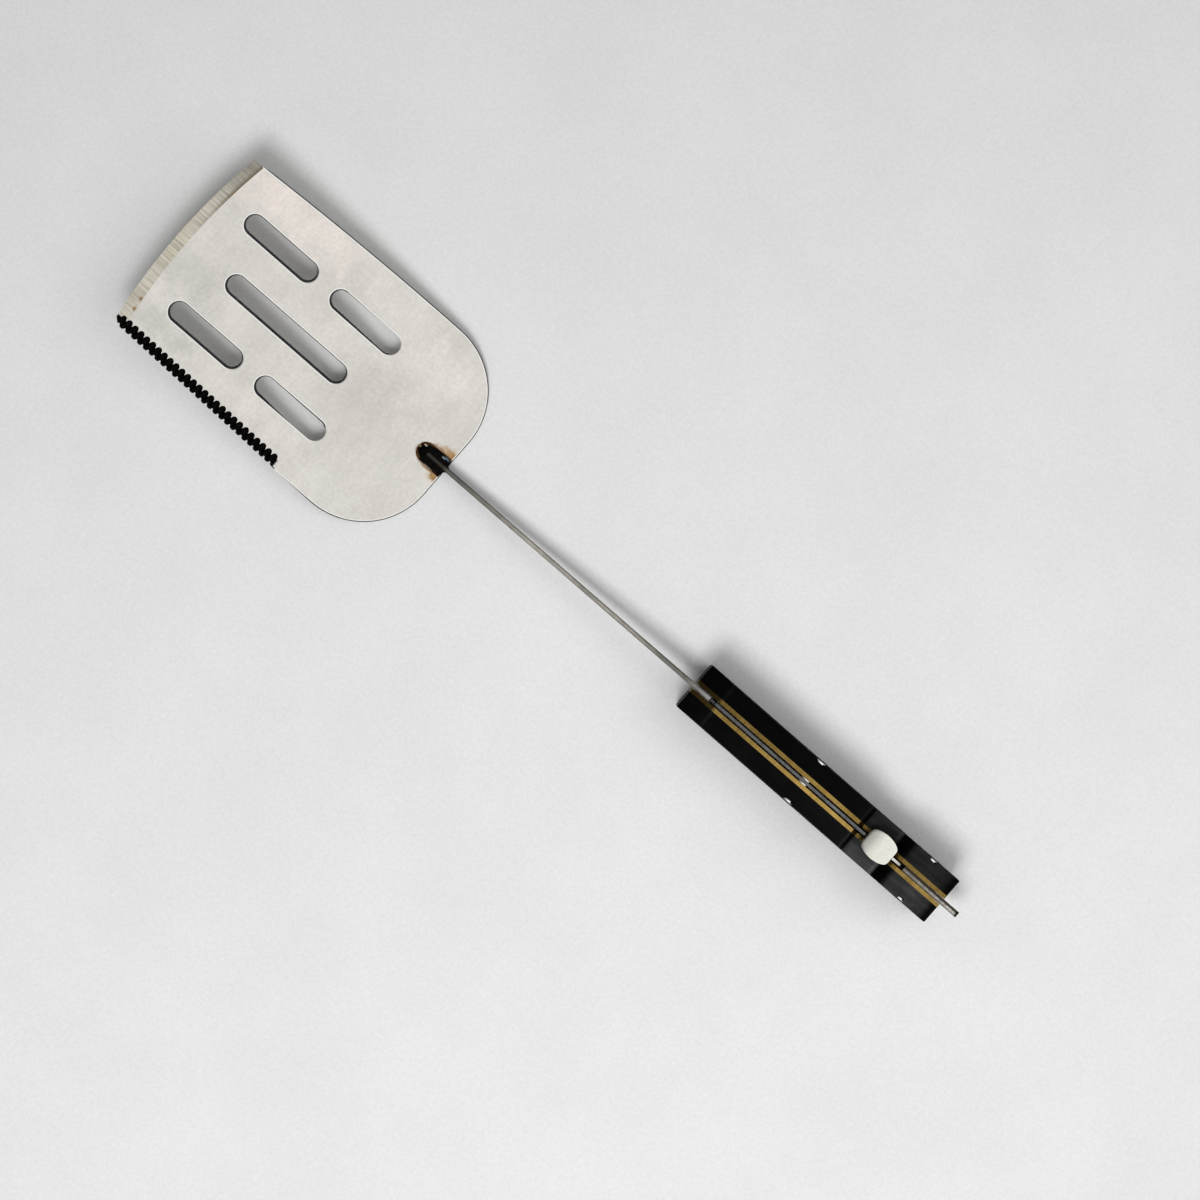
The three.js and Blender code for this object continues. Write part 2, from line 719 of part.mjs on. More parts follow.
// Hanger plate: the spacer at the butt, with a tab and hole to hang the spatula by.
function makeHanger() {
  const tip = handleLength + hangerReach;
  const seatLow = hangerBottom + springSeatRise - springFit;
  const seatHigh = seatLow + springThickness + 2 * springFit;
  const corner = hangerCornerRadius;
  const outline = new THREE.Shape();
  outline.moveTo(hangerFront, hangerBottom);
  outline.lineTo(handleLength, hangerBottom);
  outline.lineTo(tip - corner, hangerTabBottom);
  outline.quadraticCurveTo(tip, hangerTabBottom, tip, hangerTabBottom + corner);
  outline.lineTo(tip, hangerTabTop - corner);
  outline.quadraticCurveTo(tip, hangerTabTop, tip - corner, hangerTabTop);
  outline.lineTo(handleLength, rearSpineHeight(handleLength) - hangerTopInset);
  outline.lineTo(hangerFront, rearSpineHeight(hangerFront) - hangerTopInset);
  outline.lineTo(hangerFront, seatHigh);
  outline.lineTo(hangerFront + springSeatDepth, seatHigh);
  outline.lineTo(hangerFront + springSeatDepth, seatLow);
  outline.lineTo(hangerFront, seatLow);
  outline.holes.push(roundHole(rearScrewX, rearScrewZ, sleeveRadius + sleeveFit));
  outline.holes.push(roundHole(dowelX, dowelZ, dowelRadius + sleeveFit));
  const holeX = handleLength + hangerReach / 2;
  outline.holes.push(roundHole(holeX, (hangerTabBottom + hangerTabTop) / 2, hangerHoleRadius));
  return piece('hanger_plate', sidePlate(outline, hangerThickness, 0), rawSteel);
}

// Dowel that keeps the hanger plate from turning on the rear screws.
function makeDowel() {
  const half = scaleFace - washerSideClearance;
  const geometry = turned([[0, -half], [dowelRadius, -half], [dowelRadius, half], [0, half]], dowelX, dowelZ);
  return piece('hanger_dowel', geometry, polishedSteel);
}

const bladeGroup = new THREE.Group();
bladeGroup.position.set(bladeHeelX, 0, bladeHeelZ);
bladeGroup.rotation.y = bladeTilt;
bladeGroup.add(makeBlade(), makeWeld());

const spatula = new THREE.Group();
spatula.add(bladeGroup, makeShank(), makeLockBar(), makeThumbPad(), makeSpring(), makeHanger(), makeDowel());
for (const station of stations) {
  spatula.add(makeSleeve(station));
}
for (const side of sides) {
  spatula.add(makeLiner(side), makeScale(side));
  spatula.add(makeWasher(stations[0], side, pivotWasherRadius, shankThickness));
  spatula.add(makeWasher(stations[1], side, lockWasherRadius, lockBarThickness));
  for (const station of stations) {
    spatula.add(makeScrew(station, side));
  }
}

// The origin is the middle of the whole tool, at the height of the surface it lies on.
spatula.updateMatrixWorld(true);
const extent = new THREE.Box3().setFromObject(spatula, true);
const centre = extent.getCenter(new THREE.Vector3());
spatula.position.set(-centre.x, -centre.y, -extent.min.z);

export default spatula;
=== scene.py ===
import math

import bmesh
import bpy
from mathutils import Matrix, Vector, noise


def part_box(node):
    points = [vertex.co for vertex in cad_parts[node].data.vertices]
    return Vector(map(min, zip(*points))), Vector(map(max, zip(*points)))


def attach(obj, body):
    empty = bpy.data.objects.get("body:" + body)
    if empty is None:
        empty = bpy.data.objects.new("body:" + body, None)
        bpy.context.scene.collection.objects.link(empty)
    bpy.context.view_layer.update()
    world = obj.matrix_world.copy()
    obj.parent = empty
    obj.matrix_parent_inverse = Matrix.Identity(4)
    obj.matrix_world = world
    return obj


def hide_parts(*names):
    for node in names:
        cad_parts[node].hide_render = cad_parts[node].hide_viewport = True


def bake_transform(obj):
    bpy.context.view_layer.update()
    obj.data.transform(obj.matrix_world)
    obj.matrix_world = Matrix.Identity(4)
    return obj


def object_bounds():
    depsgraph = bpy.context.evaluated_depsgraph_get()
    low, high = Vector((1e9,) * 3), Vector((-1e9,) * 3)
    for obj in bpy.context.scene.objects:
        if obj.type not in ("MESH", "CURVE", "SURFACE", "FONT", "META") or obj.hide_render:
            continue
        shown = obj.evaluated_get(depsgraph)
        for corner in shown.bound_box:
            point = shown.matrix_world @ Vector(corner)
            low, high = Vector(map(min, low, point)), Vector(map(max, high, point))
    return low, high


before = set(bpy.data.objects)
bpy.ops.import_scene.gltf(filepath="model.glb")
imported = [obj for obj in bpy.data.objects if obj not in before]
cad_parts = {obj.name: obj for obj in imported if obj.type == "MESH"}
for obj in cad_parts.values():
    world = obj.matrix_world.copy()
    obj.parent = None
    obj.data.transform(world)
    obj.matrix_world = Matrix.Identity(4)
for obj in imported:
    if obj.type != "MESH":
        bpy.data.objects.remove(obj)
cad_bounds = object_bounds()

scene = bpy.context.scene
scene.view_settings.view_transform = "Standard"

# Viewpoint: straight down on the spatula as it lies on a table, turned so that the blade points to
# the upper left of the picture. A moderately long lens keeps the perspective weak.
picture_turn = math.radians(41.13)
picture_width = 0.480
aim_ahead_of_handle = 0.05065
aim_to_right = 0.00093
sharp_height = 0.014
camera_distance = 1.130
sensor_width = 36.0
handle_front_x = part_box("scale_left")[0].x
camera_data = bpy.data.cameras.new("overhead_camera")
camera_data.sensor_width = sensor_width
camera_data.lens = sensor_width * camera_distance / picture_width
camera_data.clip_start = 0.01
camera_data.clip_end = 20.0
camera = bpy.data.objects.new("overhead_camera", camera_data)
camera.location = (handle_front_x - aim_ahead_of_handle, aim_to_right, sharp_height + camera_distance)
camera.rotation_euler = (0.0, 0.0, picture_turn)
scene.collection.objects.link(camera)
scene.camera = camera


# Table: a plain pale grey sheet with the faint mottling of coated paper. It lies just under the
# lowest solid and only carries the shadow.
def add_node(tree, kind, inputs=None, **properties):
    node = tree.nodes.new(kind)
    for name, value in properties.items():
        setattr(node, name, value)
    for key, value in (inputs or {}).items():
        socket = node.inputs[key]
        if isinstance(value, bpy.types.NodeSocket):
            tree.links.new(value, socket)
        elif socket.type == "RGBA":
            socket.default_value = (*value, 1.0)
        else:
            socket.default_value = value
    return node


def new_material(name):
    material = bpy.data.materials.new(name)
    material.use_nodes = True
    material.node_tree.nodes.clear()
    return material, material.node_tree


def finish_material(tree, inputs):
    shader = add_node(tree, "ShaderNodeBsdfPrincipled", inputs)
    output = add_node(tree, "ShaderNodeOutputMaterial")
    tree.links.new(shader.outputs["BSDF"], output.inputs["Surface"])


def object_coordinates(tree):
    return add_node(tree, "ShaderNodeTexCoord").outputs["Object"]


def noise_value(tree, vector, scale, detail=3.0, roughness=0.55):
    values = {"Vector": vector, "Scale": scale, "Detail": detail, "Roughness": roughness}
    return add_node(tree, "ShaderNodeTexNoise", values).outputs["Fac"]


def spread(tree, value, low, high, to_low=0.0, to_high=1.0):
    values = {"Value": value, "From Min": low, "From Max": high, "To Min": to_low, "To Max": to_high}
    return add_node(tree, "ShaderNodeMapRange", values, interpolation_type="SMOOTHSTEP").outputs["Result"]


def blended(tree, factor, first, second, blend_type="MIX"):
    values = {0: factor, 6: first, 7: second}
    return add_node(tree, "ShaderNodeMix", values, data_type="RGBA", blend_type=blend_type).outputs[2]


def shaded(tree, tone, shade):
    return blended(tree, 1.0, tone, shade, "MULTIPLY")


def mottled(tree, value, low, high, first, second):
    return blended(tree, spread(tree, value, low, high), first, second)


table_size = 3.0
table_drop = 0.0002
table_bm = bmesh.new()
bmesh.ops.create_grid(table_bm, x_segments=1, y_segments=1, size=table_size / 2)
bmesh.ops.translate(table_bm, verts=table_bm.verts, vec=(0.0, 0.0, cad_bounds[0][2] - table_drop))
table_mesh = bpy.data.meshes.new("table")
table_bm.to_mesh(table_mesh)
table_bm.free()
table = bpy.data.objects.new("table", table_mesh)
scene.collection.objects.link(table)
table_paper, paper_tree = new_material("table_paper")
paper_place = object_coordinates(paper_tree)
paper_cloud = noise_value(paper_tree, paper_place, 14.0, 6.0, 0.65)
paper_grain = noise_value(paper_tree, paper_place, 700.0, 4.0, 0.65)
paper_colour = mottled(paper_tree, paper_cloud, 0.3, 0.7,
                       (0.765, 0.770, 0.766), (0.800, 0.805, 0.801))
paper_fleck = spread(paper_tree, paper_grain, 0.25, 0.75, 0.96, 1.04)
paper_colour = shaded(paper_tree, paper_colour, paper_fleck)
finish_material(paper_tree, {"Base Color": paper_colour, "Roughness": 0.85, "Specular IOR Level": 0.2})
table_mesh.materials.append(table_paper)


# Light: a softbox high above the lower edge of the picture, a weak large sheet of light on the right,
# and an even pale room that the metal mirrors. Shadows fall short and soft towards the upper right.
softbox_side = 0.48
softbox_energy = 10.6
softbox_down = 0.52
softbox_left = 0.18
softbox_rise = 0.1
fill_side = 1.40
fill_energy = 8.0
fill_down = 0.30
fill_right = 0.95
fill_aim_right = 0.15
picture_down = Vector((math.sin(picture_turn), -math.cos(picture_turn), 0.0))
picture_right = Vector((math.cos(picture_turn), math.sin(picture_turn), 0.0))


def hang_light(name, side, energy, place, aim):
    sheet = bpy.data.lights.new(name, "AREA")
    sheet.shape = "RECTANGLE"
    sheet.size = side
    sheet.size_y = side
    sheet.energy = energy
    light = bpy.data.objects.new(name, sheet)
    light.visible_glossy = False
    light.location = place
    light.rotation_euler = (aim - place).to_track_quat("-Z", "Y").to_euler()
    scene.collection.objects.link(light)


def calculated(tree, operation, first, second=0.0):
    return add_node(tree, "ShaderNodeMath", {0: first, 1: second}, operation=operation).outputs["Value"]


def axes(tree, vector):
    return add_node(tree, "ShaderNodeSeparateXYZ", {"Vector": vector}).outputs


below_camera = Vector((camera.location.x, camera.location.y, 0.0))
softbox_place = camera.location + softbox_down * picture_down - softbox_left * picture_right
softbox_place.z += softbox_rise
hang_light("softbox", softbox_side, softbox_energy, softbox_place, below_camera)
fill_place = camera.location + fill_down * picture_down + fill_right * picture_right
hang_light("fill_sheet", fill_side, fill_energy, fill_place, below_camera + fill_aim_right * picture_right)

room = bpy.data.worlds.new("pale_room")
room.use_nodes = True
room.node_tree.nodes.clear()
light_path = add_node(room.node_tree, "ShaderNodeLightPath")
mirrored = calculated(room.node_tree, "MAXIMUM", light_path.outputs["Is Camera Ray"],
                      light_path.outputs["Is Glossy Ray"])
room_direction = add_node(room.node_tree, "ShaderNodeTexCoord").outputs["Generated"]
room_axes = axes(room.node_tree, room_direction)
ambient_low = 0.05
ambient_overhead = 0.40
dark_wall = 0.40
bright_wall = 1.0
ambient_level = spread(room.node_tree, room_axes["Z"], 0.25, 1.0, ambient_low, ambient_overhead)
wall_level = spread(room.node_tree, room_axes["X"], -0.45, 0.05, dark_wall, bright_wall)
room_levels = {0: mirrored, 2: ambient_level, 3: wall_level}
room_level = add_node(room.node_tree, "ShaderNodeMix", room_levels).outputs[0]
room_light = add_node(room.node_tree, "ShaderNodeBackground",
                      {"Color": (1.0, 1.0, 1.0), "Strength": room_level})
room_output = add_node(room.node_tree, "ShaderNodeOutputWorld")
room.node_tree.links.new(room_light.outputs["Background"], room_output.inputs["Surface"])
scene.world = room


# Blade: a 1.5 mm stainless plate, laser cut with five drain slots and a D-shaped heel, brushed across,
# with a bevel ground along its arched front edge and one side edge fluted into black teeth.
blade_length = 0.1412
blade_half_width = 0.0456
blade_front_half_width = 0.0421
blade_thickness = 0.0015
blade_tilt = math.radians(10.0)
heel_flat_half = 0.014
heel_round = 0.032
front_bulge = 0.0033
bevel_width = 0.0048
bevel_edge = 0.0004
eased_width = 0.0004
eased_depth = 0.00014
shadow_wall_draft = 0.0005
slot_radius = 0.0046
slot_row = 0.0229
slot_shadow_draft = 0.0007
slot_shadow_shear = 0.0004
weld_line = -0.0003
tooth_count = 27
tooth_pitch = 0.0031
tooth_first = 0.0023
flute_radius = 0.0015
flute_depth = 0.0051
tooth_notch = 0.0010
flute_lift = 0.0003
flute_tip_stretch = 1.3
tooth_corner_cut = 0.0022
tooth_relief = 0.0002
tooth_run_out = 0.0016
tooth_overhang = 0.0006
middle_slot_from_heel, middle_slot_length = 0.0541, 0.0612
front_slot_from_heel, front_slot_length = 0.0890, 0.0363
rear_slot_from_heel, rear_slot_length = 0.0455, 0.0350
slot_tolerance = 0.00001
merge_gap = 0.000001
curve_steps = 24
front_steps = 40
blade_low, blade_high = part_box("blade")
heel_x = blade_high.x - blade_thickness * math.sin(blade_tilt)
heel_place = Vector((heel_x, 0.0, blade_low.z))
blade_frame = Matrix.Translation(heel_place) @ Matrix.Rotation(blade_tilt, 4, "Y")
front_radius = (blade_front_half_width ** 2 + front_bulge ** 2) / (2.0 * front_bulge)
front_centre = front_radius - blade_length
front_corner = front_bulge - blade_length
teeth_length = tooth_first + tooth_pitch * (tooth_count - 0.5)


def arc(centre, radii, start, end, steps):
    points = []
    for step in range(steps + 1):
        angle = math.radians(start + (end - start) * step / steps)
        points.append((centre[0] + radii[0] * math.cos(angle), centre[1] + radii[1] * math.sin(angle)))
    return points


def teeth_half_width(from_front):
    front = blade_front_half_width + tooth_overhang
    rear = blade_half_width - tooth_relief
    return front + (rear - front) * from_front / teeth_length


def side_curve(start, control, end, steps):
    points = []
    for step in range(1, steps):
        t = step / steps
        points.append(tuple((1 - t) ** 2 * a + 2 * t * (1 - t) * b + t ** 2 * c
                            for a, b, c in zip(start, control, end)))
    return points


def loop_of_edges(bm, points, height):
    verts = [bm.verts.new((x, y, height)) for x, y in points]
    return [bm.edges.new((verts[i - 1], verts[i])) for i in range(len(verts))]


def picked(items, kind):
    return [item for item in items if isinstance(item, kind)]


def slot_outline(from_heel, length, y):
    near = (-(from_heel + slot_radius), y)
    far = (-(from_heel + length - slot_radius), y)
    radii = (slot_radius, slot_radius)
    return arc(near, radii, -90, 90, curve_steps) + arc(far, radii, 90, 270, curve_steps)


upper_spread = math.degrees(math.asin(blade_front_half_width / front_radius))
lower_spread = math.degrees(math.asin((teeth_half_width(0.0) - tooth_corner_cut) / front_radius))
heel_radii = (heel_round, blade_half_width - heel_flat_half)
blade_outline = arc((-heel_round, heel_flat_half), heel_radii, 0, 90, curve_steps)
blade_outline += side_curve((-heel_round, blade_half_width),
                            ((front_corner - heel_round) / 2, blade_half_width),
                            (front_corner, blade_front_half_width), curve_steps)
blade_outline += arc((front_centre, 0.0), (front_radius, front_radius),
                     180 - upper_spread, 180 + lower_spread, front_steps)
blade_outline.append((front_corner + tooth_first, -teeth_half_width(tooth_first)))
blade_outline.append((front_corner + teeth_length, -teeth_half_width(teeth_length)))
blade_outline.append((front_corner + teeth_length + tooth_run_out, -blade_half_width))
blade_outline += arc((-heel_round, -heel_flat_half), heel_radii, -90, 0, curve_steps)

blade_bm = bmesh.new()
rim = loop_of_edges(blade_bm, blade_outline, blade_thickness - eased_depth)
drain_slots = [(middle_slot_from_heel, middle_slot_length, 0.0)]
for row in (-slot_row, slot_row):
    drain_slots.append((front_slot_from_heel, front_slot_length, row))
    drain_slots.append((rear_slot_from_heel, rear_slot_length, row))
for drain_slot in drain_slots:
    rim += loop_of_edges(blade_bm, slot_outline(*drain_slot), blade_thickness - eased_depth)
filled = bmesh.ops.triangle_fill(blade_bm, use_beauty=True, edges=rim, normal=(0.0, 0.0, 1.0))
top_faces = picked(filled["geom"], bmesh.types.BMFace)
walls = bmesh.ops.extrude_edge_only(blade_bm, edges=rim)["geom"]
low_verts = picked(walls, bmesh.types.BMVert)
low_rim = picked(walls, bmesh.types.BMEdge)
# Painted shadow: at the heel, along the plain side and in the slots, the bottom outline is drafted so that
# the dark cut walls show from above as lines of shade along these edges. They are widest along the slots'
# edges on the teeth side.
upper_side_from = 0.9 * blade_front_half_width
drafted = {}
for vert in low_verts:
    ends = [edge.other_vert(vert) for edge in vert.link_edges if edge in low_rim]
    along = (ends[0].co - ends[1].co).normalized()
    outward = Vector((along.y, -along.x, 0.0))
    if outward.dot(vert.co - Vector((-blade_length / 2, 0.0, 0.0))) < 0.0:
        outward.negate()
    beside_heel = vert.co.x > front_corner + teeth_length + 2 * tooth_run_out
    beside_side = vert.co.y > upper_side_from and vert.co.x > front_corner + bevel_width
    drafted[vert] = vert.co + outward * (shadow_wall_draft if beside_heel or beside_side else 0.0)
for vert, place in drafted.items():
    vert.co = place
    vert.co.z = eased_depth
    for from_heel, length, row in drain_slots:
        axis_x = min(max(vert.co.x, slot_radius - from_heel - length), -(from_heel + slot_radius))
        from_axis = Vector((vert.co.x - axis_x, vert.co.y - row))
        if abs(from_axis.length - slot_radius) < slot_tolerance:
            from_axis *= 1.0 - slot_shadow_draft / slot_radius
            vert.co.x = axis_x + from_axis.x
            vert.co.y = row + from_axis.y + slot_shadow_shear
filled = bmesh.ops.triangle_fill(blade_bm, use_beauty=True, edges=low_rim, normal=(0.0, 0.0, -1.0))
low_faces = picked(filled["geom"], bmesh.types.BMFace)
bmesh.ops.recalc_face_normals(blade_bm, faces=blade_bm.faces)
for cap in (top_faces, low_faces):
    bmesh.ops.inset_region(blade_bm, faces=cap, thickness=eased_width, depth=eased_depth,
                           use_boundary=True, use_even_offset=True)


def linked_object(name, bm):
    mesh = bpy.data.meshes.new(name)
    bm.to_mesh(mesh)
    bm.free()
    piece = bpy.data.objects.new(name, mesh)
    scene.collection.objects.link(piece)
    return piece


def cut_away(piece, cutter_bm):
    cutter = linked_object("cutter", cutter_bm)
    cut = piece.modifiers.new("cut", "BOOLEAN")
    cut.operation = "DIFFERENCE"
    cut.solver = "EXACT"
    cut.object = cutter
    evaluated = piece.evaluated_get(bpy.context.evaluated_depsgraph_get())
    result = bpy.data.meshes.new_from_object(evaluated)
    piece.modifiers.clear()
    old_mesh = piece.data
    piece.data = result
    bpy.data.meshes.remove(old_mesh)
    cutter_mesh = cutter.data
    bpy.data.objects.remove(cutter)
    bpy.data.meshes.remove(cutter_mesh)


blade = linked_object("slotted_blade", blade_bm)
bevel_bm = bmesh.new()
bevel_lead = 2 * blade_thickness
bevel_overrun = 4
bevel_steps = 60
bevel_slope = (blade_thickness - bevel_edge) / bevel_width
bevel_profile = [
    (bevel_width, blade_thickness),
    (-bevel_lead, bevel_edge - bevel_lead * bevel_slope),
    (-bevel_lead, blade_thickness + bevel_lead),
    (bevel_width, blade_thickness + bevel_lead),
]
profile_verts = [bevel_bm.verts.new((inset - front_radius, 0.0, z)) for inset, z in bevel_profile]
profile_face = bevel_bm.faces.new(profile_verts)
sweep = math.radians(2 * upper_spread + bevel_overrun)
bmesh.ops.rotate(bevel_bm, verts=profile_verts, cent=(0.0, 0.0, 0.0),
                 matrix=Matrix.Rotation(-sweep / 2, 3, "Z"))
swept = [profile_face] + profile_verts + list(profile_face.edges)
bmesh.ops.spin(bevel_bm, geom=swept, axis=(0.0, 0.0, 1.0), cent=(0.0, 0.0, 0.0), angle=sweep,
               steps=bevel_steps, use_merge=False)
bmesh.ops.translate(bevel_bm, verts=bevel_bm.verts, vec=(front_centre, 0.0, 0.0))
bmesh.ops.recalc_face_normals(bevel_bm, faces=bevel_bm.faces)
cut_away(blade, bevel_bm)

flute_bm = bmesh.new()
flute_tip = flute_tip_stretch * math.sqrt(flute_radius ** 2 - flute_lift ** 2)
ball_from_edge = flute_depth - flute_tip
flute_slope = math.atan2(blade_thickness - (flute_radius - flute_lift), ball_from_edge - tooth_notch)
for tooth in range(tooth_count):
    from_front = tooth_first + tooth_pitch * tooth
    ball_y = ball_from_edge - teeth_half_width(from_front)
    place = Matrix.Translation((front_corner + from_front, ball_y, blade_thickness + flute_lift))
    lean = Matrix.Rotation(flute_slope - math.radians(90.0), 4, "X")
    ball = bmesh.ops.create_uvsphere(flute_bm, u_segments=40, v_segments=20, radius=flute_radius)["verts"]
    for vert in ball:
        if vert.co.z < -merge_gap:
            vert.co.z -= 2 * flute_depth
        else:
            vert.co.z *= flute_tip_stretch
    bmesh.ops.transform(flute_bm, matrix=place @ lean, verts=ball)
cut_away(blade, flute_bm)

plate_face, bevel_face, tooth_face, rim_face, slot_face = 0, 1, 2, 3, 4
flat_limit = 0.995
rim_limit = 0.3
slot_wall_low, slot_wall_high = 0.15, 0.9
slot_wall_share = 0.2
bevel_match = 0.002
teeth_reach = 1.05 * flute_depth
sunk_below = blade_thickness - 1.5 * eased_depth
bevel_lean = math.cos(math.atan(bevel_slope))
for face in blade.data.polygons:
    from_arc = math.hypot(face.center.x - front_centre, face.center.y)
    from_front = face.center.x - front_corner
    beside_teeth = tooth_first - tooth_pitch < from_front < teeth_length + tooth_run_out
    near_teeth = face.center.y < teeth_reach - teeth_half_width(from_front)
    on_bevel = from_arc > front_radius - bevel_width and abs(face.normal.z - bevel_lean) < bevel_match
    sunk = face.normal.z > 0.0 and face.center.z < sunk_below
    leaning = abs(face.normal.z) < flat_limit
    mid_wall = abs(face.center.z / blade_thickness - 0.5) < slot_wall_share
    if beside_teeth and near_teeth and (sunk or leaning) and not on_bevel:
        face.material_index = tooth_face
    elif on_bevel:
        face.material_index = bevel_face
    # Faces of the drafted cut walls take the dark finish that paints the shadow lines.
    elif slot_wall_low < face.normal.z < slot_wall_high and mid_wall:
        face.material_index = slot_face
    elif rim_limit < abs(face.normal.z) < flat_limit:
        face.material_index = rim_face
    else:
        face.material_index = plate_face
blade.data.transform(blade_frame)


# Shared finish: fine grinding marks that run one way. The group takes a place, the density of the
# marks across and along their run, and gives a streak value from 0 to 1.
grind_group = bpy.data.node_groups.new("grinding_marks", "ShaderNodeTree")
grind_group.interface.new_socket("Place", in_out="INPUT", socket_type="NodeSocketVector")
grind_group.interface.new_socket("Density", in_out="INPUT", socket_type="NodeSocketVector")
grind_group.interface.new_socket("Streak", in_out="OUTPUT", socket_type="NodeSocketFloat")
grind_in = add_node(grind_group, "NodeGroupInput")
grind_out = add_node(grind_group, "NodeGroupOutput")
grind_place = add_node(grind_group, "ShaderNodeVectorMath",
                       {0: grind_in.outputs["Place"], 1: grind_in.outputs["Density"]},
                       operation="MULTIPLY").outputs["Vector"]
fine_marks = noise_value(grind_group, grind_place, 1.0, 4.0, 0.7)
coarse_marks = noise_value(grind_group, grind_place, 0.23, 2.0, 0.5)
both_marks = calculated(grind_group, "ADD", fine_marks, coarse_marks)
streak = spread(grind_group, both_marks, 0.70, 1.30)
grind_group.links.new(streak, grind_out.inputs["Streak"])


def grinding_marks(tree, place, density):
    group = add_node(tree, "ShaderNodeGroup", node_tree=grind_group)
    tree.links.new(place, group.inputs["Place"])
    group.inputs["Density"].default_value = density
    return group.outputs["Streak"]


def bumped(tree, height, strength, distance):
    values = {"Height": height, "Strength": strength, "Distance": distance}
    return add_node(tree, "ShaderNodeBump", values).outputs["Normal"]


def finish_metal(tree, tone, marks, span, roughness, relief):
    finish_material(tree, {"Base Color": tone, "Metallic": 1.0,
                           "Roughness": spread(tree, marks, *span, *roughness),
                           "Normal": bumped(tree, marks, *relief)})


def stretched(tree, vector, scale):
    return add_node(tree, "ShaderNodeMapping", {"Vector": vector, "Scale": scale}).outputs["Vector"]


def plate_coordinates(tree):
    values = {"Vector": object_coordinates(tree), "Location": heel_place,
              "Rotation": (0.0, blade_tilt, 0.0)}
    return add_node(tree, "ShaderNodeMapping", values, vector_type="TEXTURE").outputs["Vector"]


def blot(tree, place, centre, radii):
    values = {"Vector": place, "Location": centre, "Scale": radii}
    local = add_node(tree, "ShaderNodeMapping", values, vector_type="TEXTURE").outputs["Vector"]
    return add_node(tree, "ShaderNodeVectorMath", {0: local}, operation="LENGTH").outputs["Value"]


def plate_blot(tree, place, x, y, half_length, half_width):
    through_plate = 0.05
    return blot(tree, place, (x, y, blade_thickness), (half_length, half_width, through_plate))


# Painted sheen and tint: a soft ragged patch blends the plate's colour towards a lighter, darker, warmer or
# cooler steel. The patches stand in for the plate's reflections as well as its tints.
def sheened_and_tinted(tree, place, tone, sheen_and_tint):
    centre_x, centre_y, half_length, half_width, strength, colour = sheen_and_tint
    inside = plate_blot(tree, place, centre_x, centre_y, half_length, half_width)
    ragged = spread(tree, noise_value(tree, place, 110.0, 5.0, 0.65), 0.25, 0.75, -0.45, 0.45)
    inside = calculated(tree, "ADD", inside, ragged)
    return blended(tree, spread(tree, inside, 0.25, 1.15, strength, 0.0), tone, colour)


def sooty(tree, place, tone):
    along, across = axes(tree, place)[:2]
    slope = (teeth_half_width(teeth_length) - teeth_half_width(0.0)) / teeth_length
    line = calculated(tree, "MULTIPLY_ADD", along, slope)
    line.node.inputs[2].default_value = teeth_half_width(0.0) - front_corner * slope
    from_edge = calculated(tree, "ADD", across, line)
    teeth_end = front_corner + teeth_length
    soot = calculated(tree, "MULTIPLY", spread(tree, from_edge, 0.0033, 0.0036, 1.0, 0.0),
                      spread(tree, along, teeth_end, teeth_end + 0.001, 1.0, 0.0))
    return blended(tree, soot, tone, (0.0015, 0.0015, 0.0015))


brushed_plate, plate_tree = new_material("brushed_plate")
plate_place = plate_coordinates(plate_tree)
plate_streak = grinding_marks(plate_tree, plate_place, (3600.0, 130.0, 60.0))
plate_cloud = noise_value(plate_tree, plate_place, 34.0, 5.0, 0.65)
plate_smear = noise_value(plate_tree, stretched(plate_tree, plate_place, (90.0, 26.0, 1.0)), 1.0, 4.0, 0.65)
plate_grain = noise_value(plate_tree, plate_place, 620.0, 5.0, 0.7)
plate_tone = mottled(plate_tree, plate_cloud, 0.32, 0.68,
                     (0.704, 0.676, 0.630), (0.764, 0.734, 0.686))
# Ten patches of painted sheen and tint: centre along and across, half length, half width, strength, colour.
plate_sheens_and_tints = ((-0.112, 0.0365, 0.038, 0.012, 0.85, (0.880, 0.808, 0.745)),
                 (-0.056, 0.0370, 0.030, 0.008, 0.60, (0.790, 0.748, 0.700)),
                 (-0.026, 0.0290, 0.022, 0.011, 0.75, (0.830, 0.785, 0.728)),
                 (-0.042, 0.0000, 0.022, 0.018, 0.80, (0.655, 0.622, 0.580)),
                 (-0.125, -0.0100, 0.014, 0.015, 0.75, (0.622, 0.596, 0.560)),
                 (-0.016, 0.0130, 0.018, 0.012, 0.40, (0.655, 0.630, 0.580)),
                 (-0.016, -0.0150, 0.016, 0.010, 0.40, (0.760, 0.738, 0.686)),
                 (-0.124, -0.0320, 0.018, 0.008, 0.80, (0.615, 0.590, 0.555)),
                 (-0.072, -0.0325, 0.022, 0.007, 0.70, (0.805, 0.768, 0.715)),
                 (-0.030, -0.0380, 0.020, 0.008, 0.50, (0.780, 0.755, 0.712)))
for sheen_and_tint in plate_sheens_and_tints:
    plate_tone = sheened_and_tinted(plate_tree, plate_place, plate_tone, sheen_and_tint)
plate_shade = spread(plate_tree, plate_smear, 0.25, 0.75, 0.95, 1.05)
streak_shade = spread(plate_tree, plate_streak, 0.0, 1.0, 0.98, 1.02)
grain_shade = spread(plate_tree, plate_grain, 0.25, 0.75, 0.92, 1.08)
for shade in (plate_shade, streak_shade, grain_shade):
    plate_tone = shaded(plate_tree, plate_tone, shade)
heat_ragged = noise_value(plate_tree, plate_place, 520.0, 5.0, 0.7)
lobe_x = 0.0002
heat_lobes = ((0.0054, 0.0098, 0.0034), (-0.0056, 0.0064, 0.0029))
